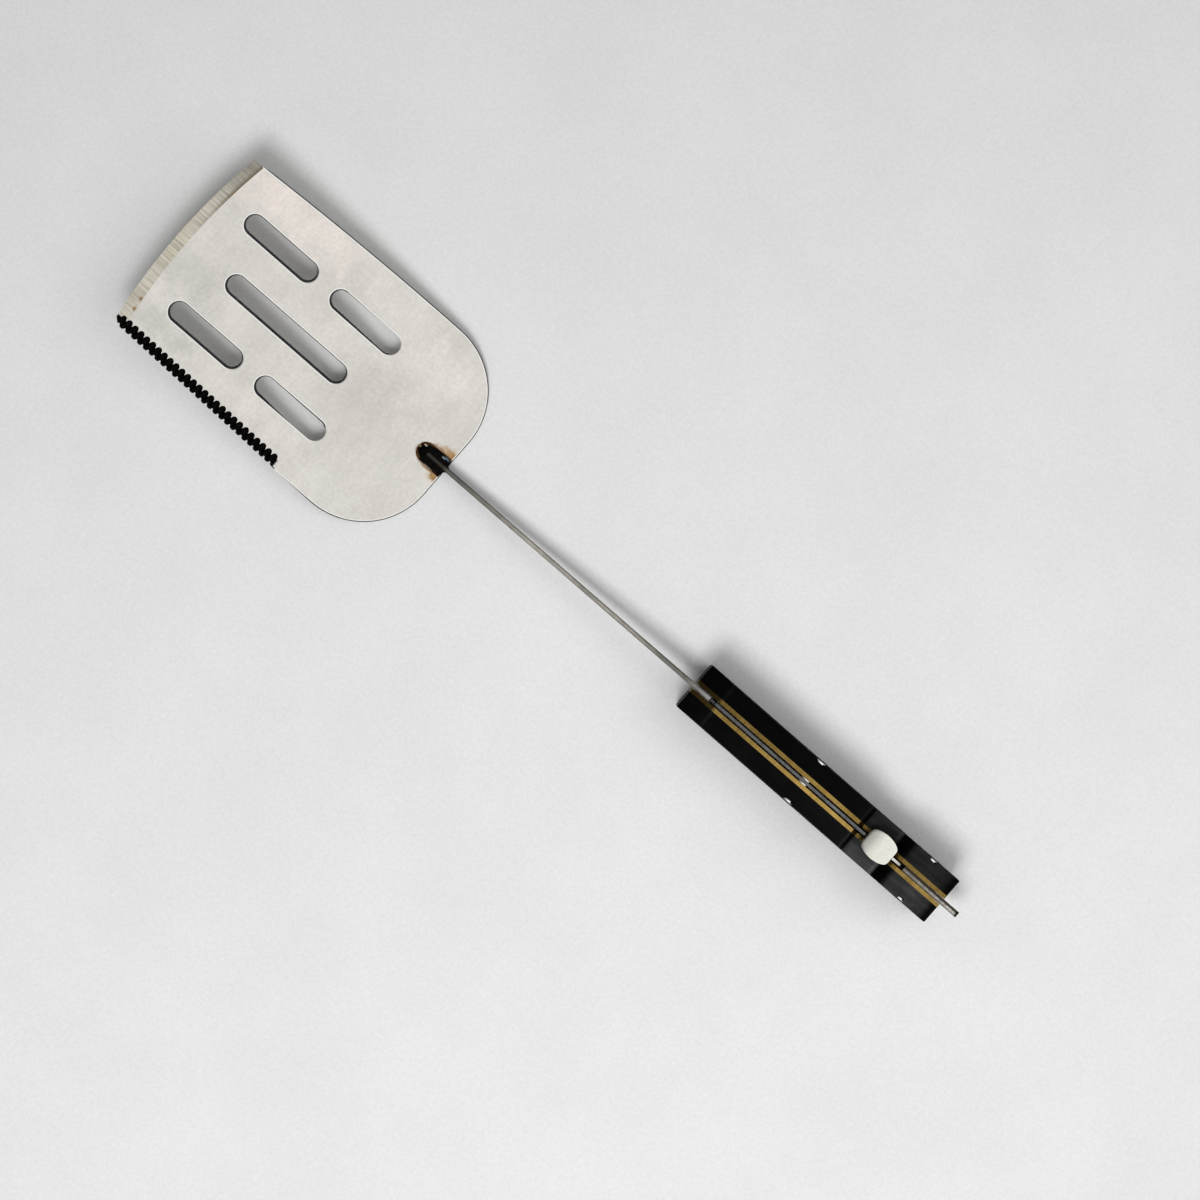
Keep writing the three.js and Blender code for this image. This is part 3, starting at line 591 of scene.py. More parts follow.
for lobe_y, lobe_length, lobe_width in heat_lobes:
    lobe = plate_blot(plate_tree, plate_place, lobe_x, weld_line + lobe_y, lobe_length, lobe_width)
    lobe = calculated(plate_tree, "ADD", lobe, spread(plate_tree, heat_ragged, 0.2, 0.8, -0.30, 0.30))
    straw = spread(plate_tree, lobe, 0.20, 1.10, 1.0, 0.0)
    plate_tone = blended(plate_tree, straw, plate_tone, (0.500, 0.335, 0.150))
    amber = spread(plate_tree, lobe, 0.0, 0.75, 0.75, 0.0)
    plate_tone = blended(plate_tree, amber, plate_tone, (0.300, 0.160, 0.055))
halo = blot(plate_tree, plate_place, (-0.0058, weld_line, blade_thickness), (0.0091, 0.0052, 0.0012))
halo = calculated(plate_tree, "ADD", halo, spread(plate_tree, heat_ragged, 0.2, 0.8, -0.07, 0.07))
plate_tone = blended(plate_tree, spread(plate_tree, halo, 0.92, 1.08, 0.8, 0.0), plate_tone,
                     (0.25, 0.115, 0.035))
plate_tone = sooty(plate_tree, plate_place, plate_tone)
finish_metal(plate_tree, plate_tone, plate_streak, (0.0, 1.0), (0.32, 0.40), (0.10, 0.00002))

ground_bevel, bevel_tree = new_material("ground_bevel")
bevel_place = plate_coordinates(bevel_tree)
bevel_streak = grinding_marks(bevel_tree, bevel_place, (150.0, 5200.0, 60.0))
bevel_cloud = noise_value(bevel_tree, bevel_place, 60.0, 3.0, 0.6)
bevel_tone = mottled(bevel_tree, bevel_cloud, 0.35, 0.65,
                     (0.680, 0.630, 0.520), (0.740, 0.700, 0.600))
bevel_shade = spread(bevel_tree, bevel_streak, 0.0, 1.0, 0.77, 1.16)
bevel_tone = shaded(bevel_tree, bevel_tone, bevel_shade)
bevel_across = axes(bevel_tree, bevel_place)["Y"]
# Painted shade: the bevel is lighter towards the teeth and darker towards the plain side, where it turns
# away from the light.
bevel_painted_shade = spread(bevel_tree, bevel_across, 0.010, 0.044, 1.27, 0.62)
bevel_tone = shaded(bevel_tree, bevel_tone, bevel_painted_shade)
arc_share = blot(bevel_tree, bevel_place, (front_centre, 0.0, 0.0), (front_radius, front_radius, 50.0))
inner_line = 1.0 - bevel_width / front_radius
inner_fade = spread(bevel_tree, arc_share, inner_line, inner_line + 0.008, 0.85, 0.0)
inner_side = spread(bevel_tree, bevel_across, 0.002, 0.030)
inner_stain = calculated(bevel_tree, "MULTIPLY", inner_fade, inner_side)
bevel_tone = blended(bevel_tree, inner_stain, bevel_tone, (0.24, 0.185, 0.115))
rust_spots = ((-0.1354, -0.0288, 0.0013), (-0.1346, -0.0335, 0.0014), (-0.1360, 0.0024, 0.0006),
              (-0.1352, 0.0262, 0.0010))
for spot_x, spot_y, spot_size in rust_spots:
    spot = plate_blot(bevel_tree, bevel_place, spot_x, spot_y, spot_size, spot_size)
    spot = calculated(bevel_tree, "ADD", spot, spread(bevel_tree, bevel_cloud, 0.3, 0.7, -0.2, 0.2))
    bevel_tone = blended(bevel_tree, spread(bevel_tree, spot, 0.35, 1.0, 0.8, 0.0), bevel_tone,
                         (0.42, 0.25, 0.10))
bevel_tone = sooty(bevel_tree, bevel_place, bevel_tone)
finish_metal(bevel_tree, bevel_tone, bevel_streak, (0.0, 1.0), (0.32, 0.5), (0.3, 0.00003))

black_teeth, teeth_tree = new_material("black_teeth")
teeth_place = plate_coordinates(teeth_tree)
teeth_soot = noise_value(teeth_tree, teeth_place, 900.0, 4.0, 0.6)
teeth_tone = mottled(teeth_tree, teeth_soot, 0.35, 0.75,
                     (0.0010, 0.0010, 0.0010), (0.0045, 0.0040, 0.0036))
finish_material(teeth_tree, {"Base Color": teeth_tone, "Specular IOR Level": 0.03,
                             "Roughness": spread(teeth_tree, teeth_soot, 0.3, 0.7, 0.42, 0.62),
                             "Normal": bumped(teeth_tree, teeth_soot, 0.4, 0.00005)})


def coated(piece, materials, smooth_below=32.0):
    for material in materials:
        piece.data.materials.append(material)
    piece.data.shade_smooth()
    piece.data.set_sharp_from_angle(angle=math.radians(smooth_below))


def dressed(piece, body, node, materials, smooth_below=32.0):
    coated(piece, materials, smooth_below)
    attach(piece, body)
    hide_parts(node)


# Painted highlight: the eased edges round the outline and the slots are given a lighter steel than the
# plate.
rim_painted_highlight, rim_tree = new_material("rim_painted_highlight")
finish_material(rim_tree, {"Base Color": (0.87, 0.855, 0.82), "Metallic": 1.0, "Roughness": 0.26})
# Painted shadow: the drafted cut walls are a dark, dull grey with faint marks.
cut_wall_painted_shadow, cut_tree = new_material("cut_wall_painted_shadow")
cut_marks = grinding_marks(cut_tree, plate_coordinates(cut_tree), (1800.0, 1800.0, 60.0))
cut_tone = blended(cut_tree, cut_marks, (0.022, 0.022, 0.025), (0.055, 0.055, 0.060))
finish_material(cut_tree, {"Base Color": cut_tone, "Roughness": 0.6, "Specular IOR Level": 0.1})
blade_materials = [brushed_plate, ground_bevel, black_teeth, rim_painted_highlight, cut_wall_painted_shadow]
blade_smooth_below = 9.7
dressed(blade, "blade_arm", "blade", blade_materials, blade_smooth_below)


# Weld: a U-shaped arc weld run round the shank's tip, left as burnt: rippled, glossy and black with brown
# at its rim, and painted highlights in blue, grey and brown on it. It joins the strip to the top of the
# blade.
weld_half_width = 0.0042
weld_rear_flare = 0.0004
weld_nose = 0.0144
weld_tail = 0.0016
weld_tail_half = 0.0022
weld_height = 0.0030
weld_roundness = 2.3
strip_half = 0.0010
strip_tip = 0.0100
weld_nose_share = 1.15
weld_flare_length = 0.007
weld_foot_share = 0.25
ripple_height = 0.00005
ripple_pitch = 0.0011
lump_height = 0.00030
lump_density = 900.0
weld_sink = 0.0002
weld_bm = bmesh.new()
bmesh.ops.create_grid(weld_bm, x_segments=110, y_segments=64, size=1.0)
for vert in weld_bm.verts:
    reach = (vert.co.x + 1.0) / 2.0
    s = -weld_tail + (weld_nose + weld_tail) * reach
    nose_from = weld_nose - weld_nose_share * weld_half_width
    width = weld_half_width + weld_rear_flare * max(0.0, 1.0 - s / weld_flare_length)
    if s > nose_from:
        nose_share = min(1.0, (s - nose_from) / (weld_nose - nose_from))
        width *= (1.0 - nose_share ** weld_roundness) ** (1.0 / weld_roundness)
    if s < 0.0:
        width = strip_half + (weld_tail_half - strip_half) * (1.0 + s / weld_tail) ** 2
    t = width * vert.co.y
    beside = max(0.0, abs(t) - strip_half)
    ahead = max(0.0, s - strip_tip)
    gap = math.hypot(beside, ahead) / (weld_half_width - strip_half)
    crest = weld_height * (weld_foot_share + (1.0 - weld_foot_share) * max(0.0, 1.0 - gap) ** 1.5)
    edge = 1.0 - abs(vert.co.y) ** 10
    if s > nose_from:
        edge *= min(1.0, 9.0 * (1.0 - reach))
    ripple = ripple_height * math.sin((s + 0.35 * abs(t)) / ripple_pitch * math.pi)
    lump = lump_height * noise.noise(Vector((s * lump_density, t * lump_density, 1.7)))
    vert.co = Vector((-s, weld_line + t, blade_thickness + edge * (crest + ripple + lump)))
bmesh.ops.recalc_face_normals(weld_bm, faces=weld_bm.faces)
weld_skirt = bmesh.ops.extrude_face_region(weld_bm, geom=list(weld_bm.faces), use_keep_orig=True)["geom"]
for vert in picked(weld_skirt, bmesh.types.BMVert):
    vert.co.z = blade_thickness - weld_sink
bmesh.ops.remove_doubles(weld_bm, verts=weld_bm.verts, dist=2 * merge_gap)
bmesh.ops.recalc_face_normals(weld_bm, faces=weld_bm.faces)
weld = linked_object("weld_run", weld_bm)
weld.data.transform(blade_frame)
burnt_weld, weld_tree = new_material("burnt_weld")
weld_place = plate_coordinates(weld_tree)
weld_burn = noise_value(weld_tree, weld_place, 520.0, 4.0, 0.6)
weld_tone = mottled(weld_tree, weld_burn, 0.52, 0.74,
                    (0.0012, 0.0012, 0.0012), (0.012, 0.006, 0.003))
weld_rim = plate_blot(weld_tree, weld_place, -0.0050, weld_line, 0.0098, 0.0046)
weld_patches = noise_value(weld_tree, weld_place, 330.0, 3.0, 0.55)
rim_brown = calculated(weld_tree, "MULTIPLY", spread(weld_tree, weld_rim, 0.86, 1.0),
                       spread(weld_tree, weld_patches, 0.42, 0.58))
weld_tone = blended(weld_tree, rim_brown, weld_tone, (0.10, 0.045, 0.016))
# Painted highlights: small lighter patches stand in for the glossy weld's reflections. Each row gives place
# and size, colour and strength.
weld_painted_glints = (((-0.0020, 0.0034, 0.0023, 0.0007), (0.11, 0.17, 0.21), 0.85),
               ((-0.0034, 0.0029, 0.0011, 0.0003), (0.40, 0.46, 0.48), 0.9),
               ((-0.0122, 0.0021, 0.0009, 0.0003), (0.55, 0.50, 0.42), 0.9),
               ((-0.0138, 0.0004, 0.0004, 0.0008), (0.45, 0.30, 0.15), 0.9),
               ((-0.0060, -0.0040, 0.0030, 0.0002), (0.30, 0.25, 0.19), 0.7))
for (glint_x, glint_y, glint_long, glint_wide), glint_colour, glint_strength in weld_painted_glints:
    glint = plate_blot(weld_tree, weld_place, glint_x, weld_line + glint_y, glint_long, glint_wide)
    glint = calculated(weld_tree, "ADD", glint, spread(weld_tree, weld_burn, 0.2, 0.8, -0.5, 0.5))
    shine = spread(weld_tree, glint, 0.3, 1.1, glint_strength, 0.0)
    weld_tone = blended(weld_tree, shine, weld_tone, glint_colour)
finish_material(weld_tree, {"Base Color": weld_tone, "Specular IOR Level": 0.03,
                            "Roughness": spread(weld_tree, weld_burn, 0.3, 0.7, 0.10, 0.25),
                            "Normal": bumped(weld_tree, weld_burn, 0.35, 0.00012)})
dressed(weld, "blade_arm", "weld_bead", [burnt_weld])


# Shank: a strip of raw flat steel on edge. Its round tang turns on the pivot sleeve, and the part of
# the tang that rubs in the handle is worn bright, with a painted highlight on it.
def softened(node, width, segments=2, sharper_than=28.0):
    bm = bmesh.new()
    bm.from_mesh(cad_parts[node].data)
    bmesh.ops.remove_doubles(bm, verts=bm.verts, dist=merge_gap)
    bmesh.ops.dissolve_limit(bm, angle_limit=math.radians(1.0), verts=bm.verts, edges=bm.edges)
    sharp = [edge for edge in bm.edges
             if edge.is_manifold and edge.calc_face_angle() > math.radians(sharper_than)]
    bmesh.ops.bevel(bm, geom=sharp, offset=width, offset_type="OFFSET", affect="EDGES", segments=segments,
                    profile=0.5, material=-1, clamp_overlap=True)
    bmesh.ops.recalc_face_normals(bm, faces=bm.faces)
    return bm


shank_round = 0.00035
shank_bm = softened("shank", shank_round, 3)
for vert in shank_bm.verts:
    if vert.co.x < handle_front_x:
        vert.co.y += weld_line * (handle_front_x - vert.co.x) / (handle_front_x - heel_x)
shank = linked_object("shank_strip", shank_bm)
raw_strip, strip_tree = new_material("raw_strip")
strip_place = object_coordinates(strip_tree)
strip_streak = grinding_marks(strip_tree, strip_place, (120.0, 2400.0, 2400.0))
strip_scale = noise_value(strip_tree, strip_place, 260.0, 5.0, 0.65)
strip_tone = mottled(strip_tree, strip_scale, 0.30, 0.70,
                     (0.486, 0.455, 0.400), (0.666, 0.630, 0.567))
strip_shade = spread(strip_tree, strip_streak, 0.0, 1.0, 0.80, 1.12)
along_strip, across_strip = axes(strip_tree, strip_place)[:2]
middle_line = add_node(strip_tree, "ShaderNodeMapRange",
                       {"Value": along_strip, "From Min": heel_x, "From Max": handle_front_x,
                        "To Min": weld_line, "To Max": 0.0}).outputs["Result"]
from_line = calculated(strip_tree, "SUBTRACT", across_strip, middle_line)
# Painted shade: the strip's top is darker on its far side and along both edges, where it rounds away from
# the light.
far_side_painted_shade = spread(strip_tree, from_line, 0.0001, 0.0009, 1.0, 0.5)
from_line = calculated(strip_tree, "ABSOLUTE", from_line)
strip_edge_painted_shade = spread(strip_tree, from_line, 0.0005, 0.0009, 1.0, 0.5)
# The strip is darker towards the heel.
darker_towards_heel = spread(strip_tree, along_strip, heel_x + 0.001, heel_x + 0.055, 0.26, 1.0)
for shade in (strip_shade, far_side_painted_shade, strip_edge_painted_shade, darker_towards_heel):
    strip_tone = shaded(strip_tree, strip_tone, shade)
scorched = spread(strip_tree, along_strip, heel_x - 0.001, heel_x + 0.003, 0.95, 0.0)
scorch_tone = mottled(strip_tree, from_line, 0.0003, 0.0008,
                      (0.052, 0.047, 0.036), (0.006, 0.006, 0.005))
strip_tone = blended(strip_tree, scorched, strip_tone, scorch_tone)
# Painted shade: the strip darkens as it nears the handle's front.
handle_end_painted_shade = spread(strip_tree, along_strip, handle_front_x - 0.030, handle_front_x - 0.004, 1.0, 0.62)
strip_tone = shaded(strip_tree, strip_tone, handle_end_painted_shade)
# Worn bright and painted highlight: the tang between the liners is given a pale steel.
rubbed_and_highlit = spread(strip_tree, along_strip, handle_front_x - 0.004, handle_front_x + 0.007)
strip_tone = blended(strip_tree, rubbed_and_highlit, strip_tone, (0.72, 0.70, 0.69))
finish_metal(strip_tree, strip_tone, strip_scale, (0.3, 0.7), (0.34, 0.52), (0.25, 0.00006))
dressed(shank, "blade_arm", "shank", [raw_strip])


# Liners: two brass plates sawn and sanded to the handle's outline, clamped between the scales and the
# moving parts. Their edges show as gold lines along the spine, with sanding marks across them.
liner_brass, brass_tree = new_material("liner_brass")
brass_place = object_coordinates(brass_tree)
brass_streak = grinding_marks(brass_tree, brass_place, (2600.0, 50.0, 50.0))
brass_cloud = noise_value(brass_tree, brass_place, 110.0, 4.0, 0.6)
brass_tone = mottled(brass_tree, brass_cloud, 0.3, 0.7,
                     (0.38, 0.245, 0.062), (0.50, 0.335, 0.10))
brass_shade = spread(brass_tree, brass_streak, 0.0, 1.0, 0.78, 1.10)
brass_along, brass_across = axes(brass_tree, brass_place)[:2]
scale_low, scale_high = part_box("scale_left")
handle_middle_x = (handle_front_x + scale_high.x) / 2
# Painted light and shade on the brass: dark at the front slope, brighter in the middle, darker towards the
# butt, and one liner darker than the other, by how the liners' edges face the light.
front_painted_shade = spread(brass_tree, brass_along, handle_front_x + 0.0105, handle_front_x + 0.0125, 0.16, 0.82)
middle_painted_light = spread(brass_tree, brass_along, handle_front_x + 0.030, handle_middle_x, 1.0, 1.40)
rear_painted_shade = spread(brass_tree, brass_along, handle_middle_x + 0.006, handle_middle_x + 0.030, 1.0, 0.72)
side_painted_shade = spread(brass_tree, brass_across, -0.001, 0.001, 1.0, 0.72)
for shade in (brass_shade, front_painted_shade, middle_painted_light, rear_painted_shade, side_painted_shade):
    brass_tone = shaded(brass_tree, brass_tone, shade)
finish_metal(brass_tree, brass_tone, brass_streak, (0.0, 1.0), (0.34, 0.5), (0.3, 0.00003))
liner_round = 0.00012
for side in ("left", "right"):
    liner = linked_object("brass_liner_" + side, softened("liner_" + side, liner_round))
    dressed(liner, "handle", "liner_" + side, [liner_brass])


# Scales: two black grips with a crowned side, screwed over the liners. A dense satin material with faint
# marks from sanding along the handle, and painted sheen and shade along its spine.
black_grip, grip_tree = new_material("black_grip")
grip_place = object_coordinates(grip_tree)
grip_streak = grinding_marks(grip_tree, grip_place, (70.0, 1400.0, 1400.0))
grip_pores = noise_value(grip_tree, grip_place, 1500.0, 3.0, 0.6)
grip_cloud = noise_value(grip_tree, grip_place, 60.0, 4.0, 0.6)
grip_along, grip_across, grip_up = axes(grip_tree, grip_place)
# Painted sheen and highlight: grey steps along the spine, lighter and darker by how each face of it turns
# to the light, with thin light lines at its creases and at the cut-out's edges. Each row gives a place
# along the handle and a grey.
front_sheen_greys = ((0.0, 0.0014), (0.084, 0.0016), (0.092, 0.0085), (0.098, 0.0022), (0.60, 0.0030))
cut_out_sheen_greys = ((0.643, 0.0050), (0.650, 0.0180), (0.655, 0.0006), (0.664, 0.0006), (0.672, 0.0260),
                 (0.690, 0.0430), (0.766, 0.0400), (0.778, 0.0800), (0.785, 0.0006))
butt_sheen_greys = ((0.815, 0.0006), (0.835, 0.0280), (0.905, 0.0330), (0.965, 0.0220), (0.984, 0.0010))
handle_span = {"Value": grip_along, "From Min": scale_low.x, "From Max": scale_high.x}
share_along = add_node(grip_tree, "ShaderNodeMapRange", handle_span).outputs["Result"]
painted_sheen_ramp = add_node(grip_tree, "ShaderNodeValToRGB", {"Fac": share_along})
for step, (place_along, grey) in enumerate(front_sheen_greys + cut_out_sheen_greys + butt_sheen_greys):
    if step > 1:
        painted_sheen_ramp.color_ramp.elements.new(place_along)
    stop = painted_sheen_ramp.color_ramp.elements[step]
    stop.position = place_along
    stop.color = (grey, 1.03 * grey, 1.02 * grey, 1.0)
grip_tone = painted_sheen_ramp.outputs["Color"]
# Painted shade: the scale away from the light is darker.
away_side_painted_shade = spread(grip_tree, grip_across, -0.002, 0.002, 1.0, 0.42)
grip_tone = shaded(grip_tree, grip_tone, away_side_painted_shade)
# Below the top few millimetres the sides are a flat near-black, so the painted sheen stays on the spine.
near_spine = spread(grip_tree, grip_up, scale_high.z - 0.0085, scale_high.z - 0.0062)
grip_tone = blended(grip_tree, near_spine, (0.0016, 0.0017, 0.0017), grip_tone)
grip_shade = spread(grip_tree, grip_cloud, 0.3, 0.7, 0.7, 1.3)
grip_tone = shaded(grip_tree, grip_tone, grip_shade)
streak_grey = spread(grip_tree, grip_streak, 0.0, 1.0, 0.75, 1.25)
grip_tone = shaded(grip_tree, grip_tone, streak_grey)
grip_height = calculated(grip_tree, "ADD", grip_streak, grip_pores)
finish_material(grip_tree, {"Base Color": grip_tone, "Specular IOR Level": 0.03,
                            "Roughness": spread(grip_tree, grip_pores, 0.3, 0.7, 0.38, 0.54),
                            "Normal": bumped(grip_tree, grip_height, 0.12, 0.00004)})
scale_round = 0.00035
for side in ("left", "right"):
    grip = linked_object("black_scale_" + side, softened("scale_" + side, scale_round, 3))
    dressed(grip, "handle", "scale_" + side, [black_grip])


# Lock bar: a rocker cut from hardened plate, blued dark and ground across its back. It turns on the
# lock sleeve, with its nose against the tang and its tail under the thumb pad.
blued_bar, bar_tree = new_material("blued_bar")
bar_place = object_coordinates(bar_tree)
bar_streak = grinding_marks(bar_tree, bar_place, (1900.0, 60.0, 60.0))
bar_cloud = noise_value(bar_tree, bar_place, 140.0, 4.0, 0.6)
bar_tone = mottled(bar_tree, bar_cloud, 0.3, 0.7,
                   (0.115, 0.115, 0.116), (0.180, 0.180, 0.179))
bar_shade = spread(bar_tree, bar_streak, 0.0, 1.0, 0.75, 1.2)
bar_tone = shaded(bar_tree, bar_tone, bar_shade)
along_bar, across_bar = axes(bar_tree, bar_place)[:2]
# Painted shade: the bar's top darkens at both edges, in the narrow gaps beside the liners.
bar_edge_painted_shade = spread(bar_tree, calculated(bar_tree, "ABSOLUTE", across_bar), 0.00042, 0.00064, 1.0, 0.25)
bar_tone = shaded(bar_tree, bar_tone, bar_edge_painted_shade)
pad_low, pad_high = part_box("thumb_pad")
bright_tail = spread(bar_tree, along_bar, pad_high.x - 0.001, pad_high.x)
bar_tone = blended(bar_tree, bright_tail, bar_tone, (0.82, 0.81, 0.80))
finish_metal(bar_tree, bar_tone, bar_streak, (0.0, 1.0), (0.26, 0.42), (0.2, 0.00003))
bar_round = 0.00015
lock_bar = linked_object("lock_rocker_bar", softened("lock_bar", bar_round))
dressed(lock_bar, "lock_rocker", "lock_bar", [blued_bar])


# Thumb pad: a polished steel button with straight ends and bulging sides, crowned on top, soldered on
# the lock bar's tab. Pressing it lifts the bar's nose.
pad_half = (pad_high.x - pad_low.x) / 2
pad_side = (pad_high.y - pad_low.y) / 2
pad_corner = 9.0
pad_end_share = 0.70
pad_crown = 0.0006
pad_edge = 0.0007
pad_core = 0.0004
pad_points = 96
pad_edge_rings = 5
pad_top_rings = 11
pad_wall = pad_high.z - pad_low.z - pad_crown - pad_edge
pad_middle = Vector(((pad_low.x + pad_high.x) / 2, 0.0, pad_low.z))


def pad_outline(inset):
    half = pad_half - inset
    side = pad_side - inset
    points = []
    for step in range(pad_points):
        angle = 2 * math.pi * step / pad_points
        ray = Vector((math.cos(angle), math.sin(angle)))
        inside, outside = 0.0, half + side
        for halving in range(30):
            reach = (inside + outside) / 2
            along = abs(ray.x * reach / half)
            across = abs(ray.y * reach / side) / max(0.05, 1.0 - (1.0 - pad_end_share) * along ** 2)
            if along ** pad_corner + across ** pad_corner < 1.0:
                inside = reach
            else:
                outside = reach
        points.append(ray * inside)
    return points


pad_rings = [(0.0, 0.0), (0.0, pad_wall)]
for step in range(1, pad_edge_rings + 1):
    angle = math.radians(90 * step / pad_edge_rings)
    pad_rings.append((pad_edge * (1 - math.cos(angle)), pad_wall + pad_edge * math.sin(angle)))
for step in range(1, pad_top_rings + 1):
    inset = pad_edge + (pad_side - pad_edge - pad_core) * step / pad_top_rings
    pad_rings.append((inset, pad_wall + pad_edge))
pad_bm = bmesh.new()
pad_loops = []
for inset, height in pad_rings:
    loop = []
    for point in pad_outline(inset):
        fullness = 1.0 - 0.55 * (point.x / pad_half) ** 2 - 0.45 * (point.y / pad_side) ** 2
        crown = pad_crown * fullness if inset > 0.0 else 0.0
        loop.append(pad_bm.verts.new((point.x, point.y, height + crown)))
    pad_loops.append(loop)
for lower, upper in zip(pad_loops, pad_loops[1:]):
    for i in range(len(lower)):
        pad_bm.faces.new((lower[i - 1], lower[i], upper[i], upper[i - 1]))
pad_bm.faces.new(list(reversed(pad_loops[0])))
pad_bm.faces.new(pad_loops[-1])
bmesh.ops.translate(pad_bm, verts=pad_bm.verts, vec=pad_middle)
bmesh.ops.recalc_face_normals(pad_bm, faces=pad_bm.faces)
pad = linked_object("thumb_button", pad_bm)
polished_steel, polish_tree = new_material("polished_steel")
polish_place = object_coordinates(polish_tree)
polish_haze = noise_value(polish_tree, polish_place, 300.0, 4.0, 0.6)
polish_tone = mottled(polish_tree, polish_haze, 0.3, 0.7,
                      (0.70, 0.685, 0.615), (0.78, 0.765, 0.69))
polish_along = axes(polish_tree, polish_place)["X"]
# Painted shade: the pad is darker at its front end, where its crown turns away from the light.
pad_front_painted_shade = spread(polish_tree, polish_along, pad_low.x + 0.0005, pad_low.x + 0.0075, 0.54, 1.10)
polish_tone = shaded(polish_tree, polish_tone, pad_front_painted_shade)
finish_metal(polish_tree, polish_tone, polish_haze, (0.3, 0.7), (0.14, 0.24), (0.05, 0.00003))
dressed(pad, "lock_rocker", "thumb_pad", [polished_steel])


# Screwed joints: at the pivot, the lock and the rear a threaded sleeve crosses the liners, and a socket
# screw from each side draws the scales against them. Thin washers keep the moving plates centred.
screw_head_radius = 0.0027
screw_head_height = 0.0014
socket_radius = 0.0012
socket_depth = 0.0009
head_chamfer = 0.00035
screw_shank_radius = 0.00098
socket_mouth_share = 1.12
screw_steps = 48


def socket_screw(node, sign):
    low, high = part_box(node)
    centre = Vector(((low.x + high.x) / 2, 0.0, (low.z + high.z) / 2))
    top = max(abs(low.y), abs(high.y))
    tip = min(abs(low.y), abs(high.y))
    seat = top - screw_head_height
    bm = bmesh.new()
    profile = [(0.0, tip), (screw_shank_radius, tip), (screw_shank_radius, seat), (screw_head_radius, seat),
               (screw_head_radius, top - head_chamfer), (screw_head_radius - head_chamfer, top),
               (socket_radius * socket_mouth_share, top)]
    verts = [bm.verts.new((radius, y, 0.0)) for radius, y in profile]
    edges = [bm.edges.new((verts[i], verts[i + 1])) for i in range(len(verts) - 1)]
    bmesh.ops.spin(bm, geom=verts + edges, axis=(0.0, 1.0, 0.0), cent=(0.0, 0.0, 0.0), angle=2 * math.pi,
                   steps=screw_steps, use_merge=True)
    bmesh.ops.remove_doubles(bm, verts=bm.verts, dist=merge_gap)
    turn_flat = Matrix.Rotation(math.radians(-90.0), 4, "X")
    hexagon = bmesh.ops.create_circle(bm, cap_ends=False, segments=6, radius=socket_radius,
                                      matrix=Matrix.Translation((0.0, top, 0.0)) @ turn_flat)["verts"]
    hex_edges = list({edge for vert in hexagon for edge in vert.link_edges})
    mouth = [edge for edge in bm.edges if edge.is_boundary]
    bmesh.ops.bridge_loops(bm, edges=mouth + hex_edges)
    walls = bmesh.ops.extrude_edge_only(bm, edges=hex_edges)["geom"]
    floor_verts = picked(walls, bmesh.types.BMVert)
    floor_edges = picked(walls, bmesh.types.BMEdge)
    bmesh.ops.translate(bm, verts=floor_verts, vec=(0.0, -socket_depth, 0.0))
    bmesh.ops.contextual_create(bm, geom=floor_edges)
    if sign < 0:
        bmesh.ops.scale(bm, verts=bm.verts, vec=(1.0, -1.0, 1.0))
    bmesh.ops.translate(bm, verts=bm.verts, vec=centre)
    bmesh.ops.recalc_face_normals(bm, faces=bm.faces)
    return bm


screw_steel, screw_tree = new_material("screw_steel")
screw_place = object_coordinates(screw_tree)
across_screw = axes(screw_tree, screw_place)["Y"]
from_middle = calculated(screw_tree, "ABSOLUTE", across_screw)
# Painted highlight: a thin bright band round each head, near the scale's side, stands in for the glint. The
# rest of the screw is dark steel.
painted_glint_band = calculated(screw_tree, "MULTIPLY", spread(screw_tree, from_middle, 0.0095, 0.0097),
                      spread(screw_tree, from_middle, 0.0102, 0.0104, 1.0, 0.0))
screw_tone = blended(screw_tree, painted_glint_band, (0.020, 0.020, 0.021), (0.93, 0.92, 0.90))
finish_material(screw_tree, {"Base Color": screw_tone, "Metallic": 1.0, "Roughness": 0.24})
bright_steel, bright_tree = new_material("bright_steel")
bright_haze = noise_value(bright_tree, object_coordinates(bright_tree), 300.0, 4.0, 0.6)
bright_tone = mottled(bright_tree, bright_haze, 0.3, 0.7,
                      (0.70, 0.685, 0.63), (0.80, 0.785, 0.73))
finish_material(bright_tree, {"Base Color": bright_tone, "Metallic": 1.0, "Roughness": 0.2})
sleeve_round = 0.0001
washer_round = 0.00003
for station in ("pivot", "lock", "rear"):
    for side, sign in (("left", -1), ("right", 1)):
        screw_node = station + "_screw_" + side
        screw = linked_object("socket_" + screw_node, socket_screw(screw_node, sign))
        dressed(screw, "handle", screw_node, [screw_steel])
    sleeve_node = station + "_sleeve"
    sleeve = linked_object("threaded_" + sleeve_node, softened(sleeve_node, sleeve_round))
    dressed(sleeve, "handle", sleeve_node, [bright_steel])
for washer_node in ("pivot_washer_left", "pivot_washer_right", "lock_washer_left", "lock_washer_right"):
    washer = linked_object("thin_" + washer_node, softened(washer_node, washer_round))
    dressed(washer, "handle", washer_node, [bright_steel])


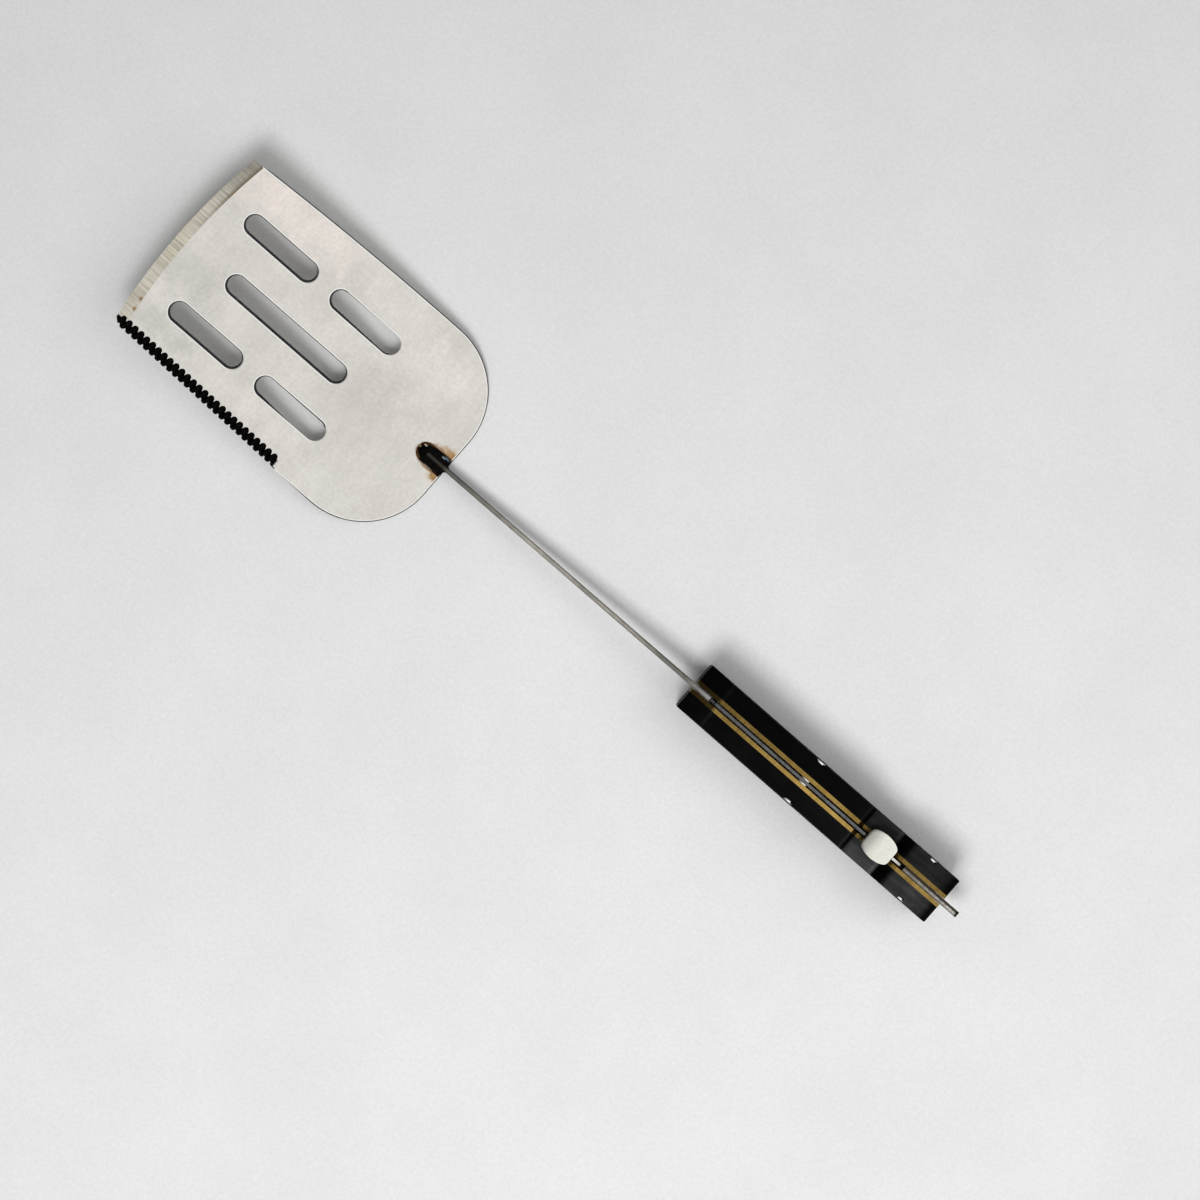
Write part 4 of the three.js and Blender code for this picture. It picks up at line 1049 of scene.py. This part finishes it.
# Lock spring: a bowed leaf of satin spring steel. Its rear end sits in a notch of the hanger plate, and
# its free end presses the lock bar's tail up.
satin_spring, spring_tree = new_material("satin_spring")
spring_place = object_coordinates(spring_tree)
spring_streak = grinding_marks(spring_tree, spring_place, (90.0, 2200.0, 2200.0))
spring_tone = blended(spring_tree, spring_streak, (0.20, 0.21, 0.23), (0.36, 0.37, 0.39))
finish_material(spring_tree, {"Base Color": spring_tone, "Metallic": 1.0,
                              "Roughness": spread(spring_tree, spring_streak, 0.0, 1.0, 0.28, 0.42)})
spring_round = 0.00015
spring = linked_object("leaf_spring", softened("lock_spring", spring_round))
coated(spring, [satin_spring])
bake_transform(spring)
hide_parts("lock_spring")


# Hanger plate: a spacer of the same raw strip as the shank, held by the rear screws and a dowel. Its
# tab stands out of the butt, with a hole to hang the spatula by.
hanger_spread = 1.18
hanger_round = 0.00030
dowel_round = 0.00015
hanger_bm = softened("hanger_plate", hanger_round, 3)
bmesh.ops.scale(hanger_bm, verts=hanger_bm.verts, vec=(1.0, hanger_spread, 1.0))
hanger = linked_object("hanger_tab", hanger_bm)
mottled_strip, mottle_tree = new_material("mottled_strip")
mottle_place = object_coordinates(mottle_tree)
mottle_patch = noise_value(mottle_tree, mottle_place, 420.0, 4.0, 0.65)
mottle_streak = grinding_marks(mottle_tree, mottle_place, (500.0, 2200.0, 2200.0))
mottle_tone = mottled(mottle_tree, mottle_patch, 0.36, 0.64,
                      (0.230, 0.215, 0.190), (0.400, 0.380, 0.345))
mottle_shade = spread(mottle_tree, mottle_streak, 0.0, 1.0, 0.75, 1.15)
mottle_tone = shaded(mottle_tree, mottle_tone, mottle_shade)
mottle_along, mottle_across = axes(mottle_tree, mottle_place)[:2]
# Painted light: the tab is lighter where it stands out of the butt than between the liners.
open_tab_painted_light = spread(mottle_tree, mottle_along, scale_high.x - 0.001, scale_high.x + 0.001, 1.0, 1.65)
mottle_tone = shaded(mottle_tree, mottle_tone, open_tab_painted_light)
# Partly the strip's own brown, partly painted shade: one half of the tab's width is blended to a dark
# brown.
brown_half_and_shade = spread(mottle_tree, mottle_across, -0.0001, 0.0004, 0.0, 0.95)
mottle_tone = blended(mottle_tree, brown_half_and_shade, mottle_tone, (0.034, 0.026, 0.019))
# Painted shade: the tab's other edge darkens beside the liner.
near_edge_painted_shade = spread(mottle_tree, mottle_across, -0.00110, -0.00070, 0.20, 1.0)
mottle_tone = shaded(mottle_tree, mottle_tone, near_edge_painted_shade)
tab_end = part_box("hanger_plate")[1].x
# Painted shade: the rounded end of the tab is dark.
rounded_end_painted_shade = spread(mottle_tree, mottle_along, tab_end - 0.0019, tab_end - 0.0010, 1.0, 0.08)
mottle_tone = shaded(mottle_tree, mottle_tone, rounded_end_painted_shade)
finish_metal(mottle_tree, mottle_tone, mottle_patch, (0.3, 0.7), (0.32, 0.5), (0.25, 0.00006))
dressed(hanger, "handle", "hanger_plate", [mottled_strip])
dowel = linked_object("steel_dowel", softened("hanger_dowel", dowel_round))
dressed(dowel, "handle", "hanger_dowel", [bright_steel])
